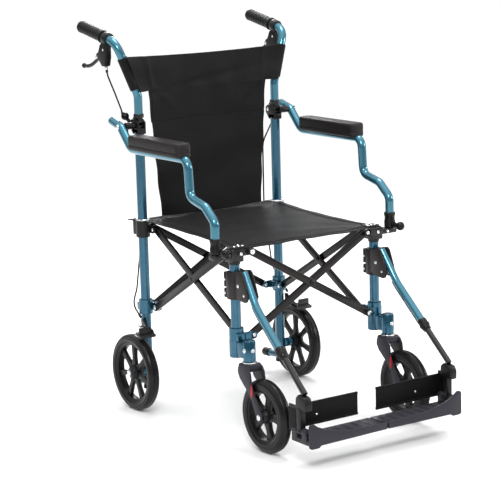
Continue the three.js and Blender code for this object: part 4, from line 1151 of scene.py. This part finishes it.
def extension(side, s):
    """What slides in the hanger: the inner tube, its foot, the heel band and the footplate's pin."""
    body = f"extension_{side}"
    down = sided(HANGER_DOWN, s)
    end = sided(HANGER_END, s)
    bm = bmesh.new()
    rod(bm, end - down * 0.09, end + down * 0.122, 0.0075, 36)
    piece(f"extension_tube_{side}", bm, CHROME, body)
    foot = bmesh.new()
    y = MID_Y
    outline = [
        (-0.504, 0.140), (-0.504, 0.160), (-0.498, 0.172), (-0.474, 0.177), (-0.464, 0.168), (-0.462, 0.140),
    ]
    plate(foot, moved(outline, y), "x", (s * 0.2085, s * 0.2288), 0.0035)
    stem = [(-0.484, FOOT_PIN_Z), (-0.484, 0.146), (-0.468, 0.146), (-0.468, FOOT_PIN_Z)]
    plate(foot, moved(stem, y), "x", (s * 0.214, s * 0.230), 0.002)
    soft_rod(
        foot, (s * FOOT_PIN_X, y - 0.484, FOOT_PIN_Z), (s * FOOT_PIN_X, y - 0.468, FOOT_PIN_Z), 0.009,
        0.001,
    )
    block(foot, (s * 0.2235, s * 0.2282), (y - 0.476, y - 0.4375), (0.127, 0.149), 0.001)
    piece(f"extension_foot_{side}", foot, BLACK_PLASTIC, body, [f"footrest_extension_{side}"])
    strap = bmesh.new()
    xs = (s * HEEL_INNER, s * 0.2285)
    ys = (y - 0.4408, y - 0.4372)
    block(strap, xs, ys, HEEL_BAND, 0.0012)
    block(strap, (s * 0.2262, s * 0.2290), (y - 0.466, y - 0.4372), HEEL_BAND, 0.001)
    for z in (HEEL_BAND[0] + 0.0035, HEEL_BAND[1] - 0.0035):
        block(strap, xs, (y - 0.4418, y - 0.4362), (z - 0.0028, z + 0.0028), 0.0008)
    piece(f"heel_band_{side}", strap, HEM_TAPE, body)
    pin = bmesh.new()
    rod(pin, (s * FOOT_PIN_X, y - 0.5055, FOOT_PIN_Z), (s * FOOT_PIN_X, y - 0.4505, FOOT_PIN_Z), 0.0039)
    rivet(pin, (s * 0.150, y - 0.4408, 0.108), AHEAD, 0.003, 0.0012)
    piece(f"footplate_pin_{side}", pin, ZINC, body)


def footplate(side, s):
    """A ribbed plate with a sloping front lip, hinged on the foot."""
    body = f"foot_{side}"
    front = MID_Y - 0.520
    rear = MID_Y - 0.446
    bm = bmesh.new()
    block(bm, (s * 0.0022, s * 0.2285), (front + 0.001, rear), (0.062, 0.0735), 0.002)
    slope = [
        (0.0022, 0.0615), (0.0022, 0.0775), (0.118, 0.081), (0.180, 0.094), (0.206, 0.106), (0.218, 0.1145),
        (0.226, 0.113), (0.229, 0.108), (0.229, 0.058), (0.224, 0.0545), (0.202, 0.0545), (0.196, 0.0595),
    ]
    plate(bm, [(s * a, b) for a, b in slope], "y", (front, front + 0.0068), 0.0018)
    for low, high in ((MID_Y - 0.504, MID_Y - 0.4852), (MID_Y - 0.4668, MID_Y - 0.447)):
        soft_rod(bm, (s * FOOT_PIN_X, low, FOOT_PIN_Z), (s * FOOT_PIN_X, high, FOOT_PIN_Z), 0.009, 0.001)
        block(bm, (s * 0.2142, s * 0.2288), (low, high), (0.065, FOOT_PIN_Z), 0.0015)
    for i in range(7):
        along = 0.020 + i * 0.027
        block(bm, (s * along, s * (along + 0.014)), (front + 0.010, rear - 0.004), (0.073, 0.0742), 0.0004)
    stand_in(f"footplate_{side}", bm, GREY_PLASTIC, body)


# ---- Cloth ----
def cloth(name, place_at, across, along, thick, material, body, replaces):
    """A sheet laid out by place_at(u, v) over a grid, given its thickness and folding in with the frame."""
    bm = bmesh.new()
    bmesh.ops.create_grid(bm, x_segments=across, y_segments=along, size=0.5)
    for vert in bm.verts:
        vert.co = place_at(vert.co.x + 0.5, vert.co.y + 0.5)
    bmesh.ops.recalc_face_normals(bm, faces=bm.faces)
    bmesh.ops.solidify(bm, geom=bm.faces[:], thickness=thick)
    obj = piece(name, bm, material, body, replaces, 60)
    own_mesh(obj)


STITCH_PITCH = 0.0055
STITCH_SIZE = (0.0011, 0.0036, 0.0009)


def stitch_row(bm, places, normal):
    """Short raised threads along a line."""
    travelled = 0.0
    for a, b in zip(places, places[1:]):
        span = (b - a).length
        way = (b - a).normalized()
        at = (STITCH_PITCH - travelled % STITCH_PITCH) % STITCH_PITCH
        while at < span:
            middle = a + way * at
            made = bmesh.ops.create_cube(bm, size=1)["verts"]
            bmesh.ops.scale(bm, vec=STITCH_SIZE, verts=made)
            turn = Matrix((way.cross(normal).normalized(), way, normal)).transposed().to_4x4()
            bmesh.ops.transform(bm, matrix=Matrix.Translation(middle + normal * 0.0003) @ turn, verts=made)
            at += STITCH_PITCH
        travelled += span


def stitches(name, rows, normal, body):
    bm = bmesh.new()
    for row in rows:
        stitch_row(bm, row, Vector(normal))
    obj = piece(name, bm, THREAD, body)
    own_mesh(obj)


THREAD_RISE = 0.0008
SEAT_TOP = 0.4812
SEAT_RISE = 0.0135          # how much higher the rear edge is than the front one
SEAT_SAG = 0.0085
SEAT_FRONT = FRONT_Y - 0.017
SEAT_BACK = REAR_Y + 0.020


def fan(dx, dy, clear, rise, reach, height, folds, shift, power):
    """Creases that spread from a corner, clear of it at first and fading further on."""
    distance = math.hypot(dx, dy)
    fade = math.exp(-distance / reach) * unit((distance - clear) / rise)
    return height * fade * (1 - abs(math.sin(folds * math.atan2(dy, dx) + shift))) ** power


def seat_height(x, y):
    """The sling's top: level across the corners, sagging between, with creases from all four corners."""
    v = (y - SEAT_FRONT) / (SEAT_BACK - SEAT_FRONT)
    u = x / (HALF_TRACK + 0.02)
    base = SEAT_TOP + SEAT_RISE * v
    sag = SEAT_SAG * (1 - u ** 4) * (0.45 + 0.55 * math.sin(math.pi * unit(v)))
    creases = 0.0
    for s in (-1, 1):
        inward = HALF_TRACK + 0.004 - s * x
        creases += fan(inward, y - (FRONT_Y - 0.008), 0.028, 0.05, 0.12, 0.0058, 5.5, s * 0.5, 2.2)
        creases += fan(inward, REAR_Y - y, 0.02, 0.04, 0.09, 0.0036, 4.5, 0, 2)
    ripple = 0.0012 * math.sin(x * 41 + y * 23) * math.sin(y * 37 - x * 18)
    creases *= 1 - min(abs(u), 1) ** 6
    return base - sag + creases * unit(v / 0.12) + ripple * (1 - min(abs(u), 1) ** 8)


def seat_y(v):
    return SEAT_FRONT + (SEAT_BACK - SEAT_FRONT) * v


def seat_half_width(v):
    return 0.2035 + 0.019 * abs(2 * v - 1) ** 3.2 + 0.022 * max(v - 0.88, 0) / 0.12


def seat_place(u, v):
    x = (2 * u - 1) * seat_half_width(v)
    y = seat_y(v)
    across = 2 * u - 1
    bow = 0.003 * (1 - abs(across) ** 3) * max((v - 0.5) * 2, 0) ** 2
    front_bow = 0.006 * (1 - across ** 2) * max((0.5 - v) * 2, 0) ** 2
    y += front_bow - bow
    return Vector((x, y, seat_height(x, y)))


def seat():
    """The seat sling in two halves, each stitched along its free edges."""
    halves = {"front": (0.0, 0.5, "seat_front_half"), "rear": (0.5, 1.0, "seat_rear_half")}
    for label, (start, end, body) in halves.items():
        def place(u, v, start=start, end=end):
            return seat_place(u, start + (end - start) * v)

        cloth(f"seat_{label}", place, 110, 60, 0.0026, SEAT_CLOTH, body, [f"seat_{label}"])
        rows = []
        for inset in (0.014, 0.018):
            for s in (-1, 1):
                row = []
                for i in range(41):
                    v = start + (end - start) * i / 40
                    x = s * (seat_half_width(v) - inset)
                    y = seat_y(v)
                    row.append(Vector((x, y, seat_height(x, y) + THREAD_RISE)))
                rows.append(row)
            edge = 0.0 if label == "front" else 1.0
            row = []
            for i in range(61):
                u = 0.06 + 0.88 * i / 60
                spot = seat_place(u, edge)
                spot.y += inset if label == "front" else -inset
                spot.z = seat_height(spot.x, spot.y) + THREAD_RISE
                row.append(spot)
            rows.append(row)
        stitches(f"seat_stitching_{label}", rows, UP, body)


def seat_corners(side, s):
    """Black plates and bright rivets at the front corners, and a bright eyelet round each rear post."""
    x = s * HALF_TRACK
    tops = bmesh.new()
    z = seat_height(s * (HALF_TRACK - 0.006), FRONT_Y) + 0.0012
    block(
        tops, (s * (HALF_TRACK - 0.026), s * (HALF_TRACK + 0.012)), (FRONT_Y - 0.010, FRONT_Y + 0.014),
        (z - 0.001, z + 0.0012), 0.0006,
    )
    piece(f"seat_plate_{side}", tops, BLACK_STEEL, f"corner_{side}")
    heads = bmesh.new()
    for dx, dy in ((-0.021, -0.004), (-0.010, -0.004), (0.002, -0.003), (-0.016, 0.008)):
        rivet(heads, (s * (HALF_TRACK + dx), FRONT_Y + dy, z + 0.0012), UP, 0.0036, 0.0022)
    piece(f"seat_rivets_{side}", heads, ZINC, f"corner_{side}")
    ring = bmesh.new()
    z = seat_height(s * (HALF_TRACK - 0.004), REAR_Y) + 0.0005
    profile = [
        (0.0140, z), (0.0150, z + 0.0022), (0.0172, z + 0.0028), (0.0196, z + 0.0012),
        (0.0200, z - 0.0010), (0.0140, z - 0.0020),
    ]
    turned(ring, profile, (x, REAR_Y, 0), UP, 48, closed=True)
    piece(f"seat_eyelet_{side}", ring, ZINC, f"slider_{side}")


BACK_LOW = 0.4965
BACK_SPLIT = HINGE_Z
BACK_STEP = 0.822
BACK_TOP = 0.912
BACK_Y = REAR_Y - 0.007


def panel_half_width(z):
    return 0.156 + 0.026 * (z - BACK_LOW) / (BACK_STEP - BACK_LOW)


def back_half_width(z):
    if z < BACK_STEP:
        return panel_half_width(z)
    return HALF_TRACK + (z - 0.812) * 0.36 - 0.004


def back_bow(x, z):
    """The back hangs a little behind its edges, more towards the middle."""
    across = x / 0.2
    lift = math.sin(math.pi * unit((z - BACK_LOW) / (BACK_TOP - BACK_LOW)))
    ripple = 0.0013 * math.sin(z * 44 + x * 19) * math.sin(x * 27 - z * 9)
    pull = 0.0026 * math.exp(-abs(z - BACK_STEP) / 0.035) * math.sin(x * 74 + 0.7)
    edge = 0.0030 * abs(across) ** 3 * math.sin(z * 71 + 2 * across)
    tuck = (abs(x) - 0.168 - 0.2 * max(z - BACK_STEP, 0)) / 0.007
    fold = -0.0045 * math.exp(-tuck ** 2) * unit((z - 0.79) / 0.04)
    sag = 0.0034 * math.exp(-((z - 0.838 - 0.03 * across) / 0.010) ** 2) * (1 - across ** 2)
    crease = 0.0
    for way in (-1, 1):
        line = (z - 0.80) - 0.9 * (way * x - 0.13)
        crease -= 0.0024 * math.exp(-(line / 0.013) ** 2) * math.exp(-((way * x - 0.135) / 0.035) ** 2)
    return 0.021 * (1 - across ** 2) * (0.35 + 0.65 * lift) + ripple + pull + edge + fold + sag + crease


def at_height(path, z):
    """The point of a rising path at this height, or its start where it doesn't reach so far."""
    for a, b in zip(path, path[1:]):
        if a.z <= z <= b.z:
            return a.lerp(b, (z - a.z) / (b.z - a.z))
    return path[0]


def tube_lean(z):
    """How far behind the rear post the handle tube is at this height."""
    path = handle_path(1)
    return at_height(path, z).y - path[0].y


def back():
    """The back sling: a lower part, an upper part above the hinge and a band between the tubes."""
    parts = {
        "lower": (BACK_LOW, BACK_SPLIT, "rear_frame_right", 70, 0.17, 0.1656, ["back_lower"]),
        "upper": (BACK_SPLIT, BACK_STEP, "back_tube_right", 40, 0.18, 0.1781, ["back_upper"]),
        "band": (BACK_STEP, BACK_TOP, "back_tube_right", 40, 0.226, 0.2256, []),
    }
    for label, (low, high, body, rows, widest, mean, replaced) in parts.items():
        def place(u, v, low=low, high=high, label=label):
            z = low + (high - low) * v
            half = back_half_width(z + 1e-6) if label == "band" else panel_half_width(z)
            x = (2 * u - 1) * half
            hollow = 1 - (2 * u - 1) ** 2
            z -= 0.006 * hollow * v if label == "band" else 0.0
            z -= 0.005 * hollow * (1 - v) if label == "lower" else 0.0
            y = BACK_Y + back_bow(x, z)
            if label == "band":
                y += tube_lean(z) - 0.0022 - 0.0040 * abs(2 * u - 1) ** 8
            return Vector((x, y, z))

        cloth(f"back_{label}", place, 90, rows, 0.0024, BACK_CLOTH, body, replaced)
    seams("lower", "rear_frame_right", [0.514], BACK_LOW, BACK_SPLIT)
    seams("upper", "back_tube_right", [], BACK_SPLIT, BACK_STEP)


def seams(label, body, levels, low, high):
    rows = []
    for z in levels:
        half = back_half_width(z) - 0.008
        rows.append([Vector((-half + 2 * half * i / 60, 0, z)) for i in range(61)])
    for s in (-1, 1):
        row = []
        for i in range(41):
            z = low + 0.004 + (high - low - 0.008) * i / 40
            row.append(Vector((s * (back_half_width(min(z, BACK_STEP - 1e-4)) - 0.010), 0, z)))
        rows.append(row)
    for row in rows:
        for point in row:
            point.y = BACK_Y + back_bow(point.x, point.z) - 0.0006
    stitches(f"back_stitching_{label}", rows, AHEAD, body)


def back_sleeve(side, s):
    """Cloth wrapped round the splayed tube at the top of the back."""
    path = handle_path(s)
    low = 0.828
    high = 0.908
    run = [at_height(path, low + (high - low) * i / 16) for i in range(17)]
    bm = bmesh.new()
    tube(bm, run, TUBE_R + 0.0022, 36)
    caps = [f for f in bm.faces if len(f.verts) > 8]
    bmesh.ops.delete(bm, geom=caps, context="FACES_ONLY")
    bmesh.ops.recalc_face_normals(bm, faces=bm.faces)
    bmesh.ops.solidify(bm, geom=bm.faces[:], thickness=0.0018)
    obj = piece(f"back_sleeve_{side}", bm, BACK_CLOTH, f"back_tube_{side}", (), 60)


# ---- Build ----
for side, s in SIDES.items():
    rear_post(side, s)
    front_post(side, s)
    rear_lower_bracket(side, s)
    rear_slider(side, s)
    front_lower_bracket(side, s)
    front_corner(side, s)
    back_tube(side, s)
    grip(side, s)
    brake_handle(side, s)
    cable(side, s, "upper", CABLE_UPPER, f"back_tube_{side}")
    cable(side, s, "lower", CABLE_LOWER, f"rear_frame_{side}")
    back_hinge(side, s)
    wheel_brake(side, s)
    arm(side, s)
    arm_pad(side)
    rear_wheel(side, s)
    caster(side, s)
    hanger(side, s)
    extension(side, s)
    footplate(side, s)
    seat_corners(side, s)
    back_sleeve(side, s)

for name in CROSSES:
    climbs = 1 if CROSSES[name]["axis"] == "y" else -1
    bar(name, "a", climbs)
    bar(name, "b", -climbs)

seat()
back()


# ---- Floor, light and camera ----
def studio_sky():
    """White overhead and dim round the sides, so that round tubes show streaks."""
    world = bpy.data.worlds.new("Studio")
    world.use_nodes = True
    nodes = world.node_tree.nodes
    links = world.node_tree.links
    way = add(nodes, "TexCoord")
    apart = add(nodes, "SeparateXYZ")
    ramp = add(nodes, "MapRange", {"From Min": 0.1, "From Max": 0.85, "To Min": 0.2, "To Max": 1.45})
    links.new(way.outputs["Generated"], apart.inputs["Vector"])
    links.new(apart.outputs["Z"], ramp.inputs["Value"])
    links.new(ramp.outputs["Result"], nodes["Background"].inputs["Strength"])
    nodes["Background"].inputs["Color"].default_value = (1, 1, 1, 1)
    return world


def studio():
    """A pale floor and four soft lamps."""
    scene = bpy.context.scene
    floor_mesh = bpy.data.meshes.new("floor")
    bm = bmesh.new()
    bmesh.ops.create_grid(bm, x_segments=1, y_segments=1, size=60)
    bm.to_mesh(floor_mesh)
    bm.free()
    floor = bpy.data.objects.new("floor", floor_mesh)
    scene.collection.objects.link(floor)
    pale = bpy.data.materials.new("Pale floor")
    pale.use_nodes = True
    shader = pale.node_tree.nodes["Principled BSDF"]
    shader.inputs["Base Color"].default_value = (0.93, 0.93, 0.93, 1)
    shader.inputs["Roughness"].default_value = 0.9
    shader.inputs["Specular IOR Level"].default_value = 0.1
    floor_mesh.materials.append(pale)
    scene.world = studio_sky()
    lamps = {
        "key": ((-1.7, -2.2, 2.6), 0.7, 46),
        "strip": ((2.4, -1.5, 1.3), 0.5, 22),
        "top": ((0.3, 0.2, 3.0), 1.0, 34),
        "rim": ((1.2, 2.4, 1.8), 0.8, 24),
    }
    for name, (place, width, power) in lamps.items():
        light = bpy.data.lights.new(name, "AREA")
        light.size = width
        light.energy = power
        lamp = bpy.data.objects.new(name, light)
        lamp.location = place
        aim = Vector((0, 0.05, 0.5)) - Vector(place)
        lamp.rotation_euler = aim.to_track_quat("-Z", "Y").to_euler()
        scene.collection.objects.link(lamp)
    scene.view_settings.view_transform = "Standard"
    scene.view_settings.exposure = 0.0


def camera():
    azimuth = math.radians(-34.6)
    elevation = math.radians(11.15)
    roll = math.radians(-1.53)
    distance = 4.585
    target = Vector((-0.0233, 0.0636, 0.4179))
    back_way = Vector((
        math.sin(azimuth) * math.cos(elevation),
        -math.cos(azimuth) * math.cos(elevation),
        math.sin(elevation),
    ))
    lens = bpy.data.cameras.new("camera")
    lens.sensor_width = 36
    lens.lens = 129.9
    lens.clip_end = 60
    eye = bpy.data.objects.new("camera", lens)
    eye.location = target + back_way * distance
    level = back_way.to_track_quat("Z", "Y")
    eye.rotation_euler = (level @ Quaternion(UP, roll)).to_euler()
    bpy.context.scene.collection.objects.link(eye)
    bpy.context.scene.camera = eye


studio()
camera()
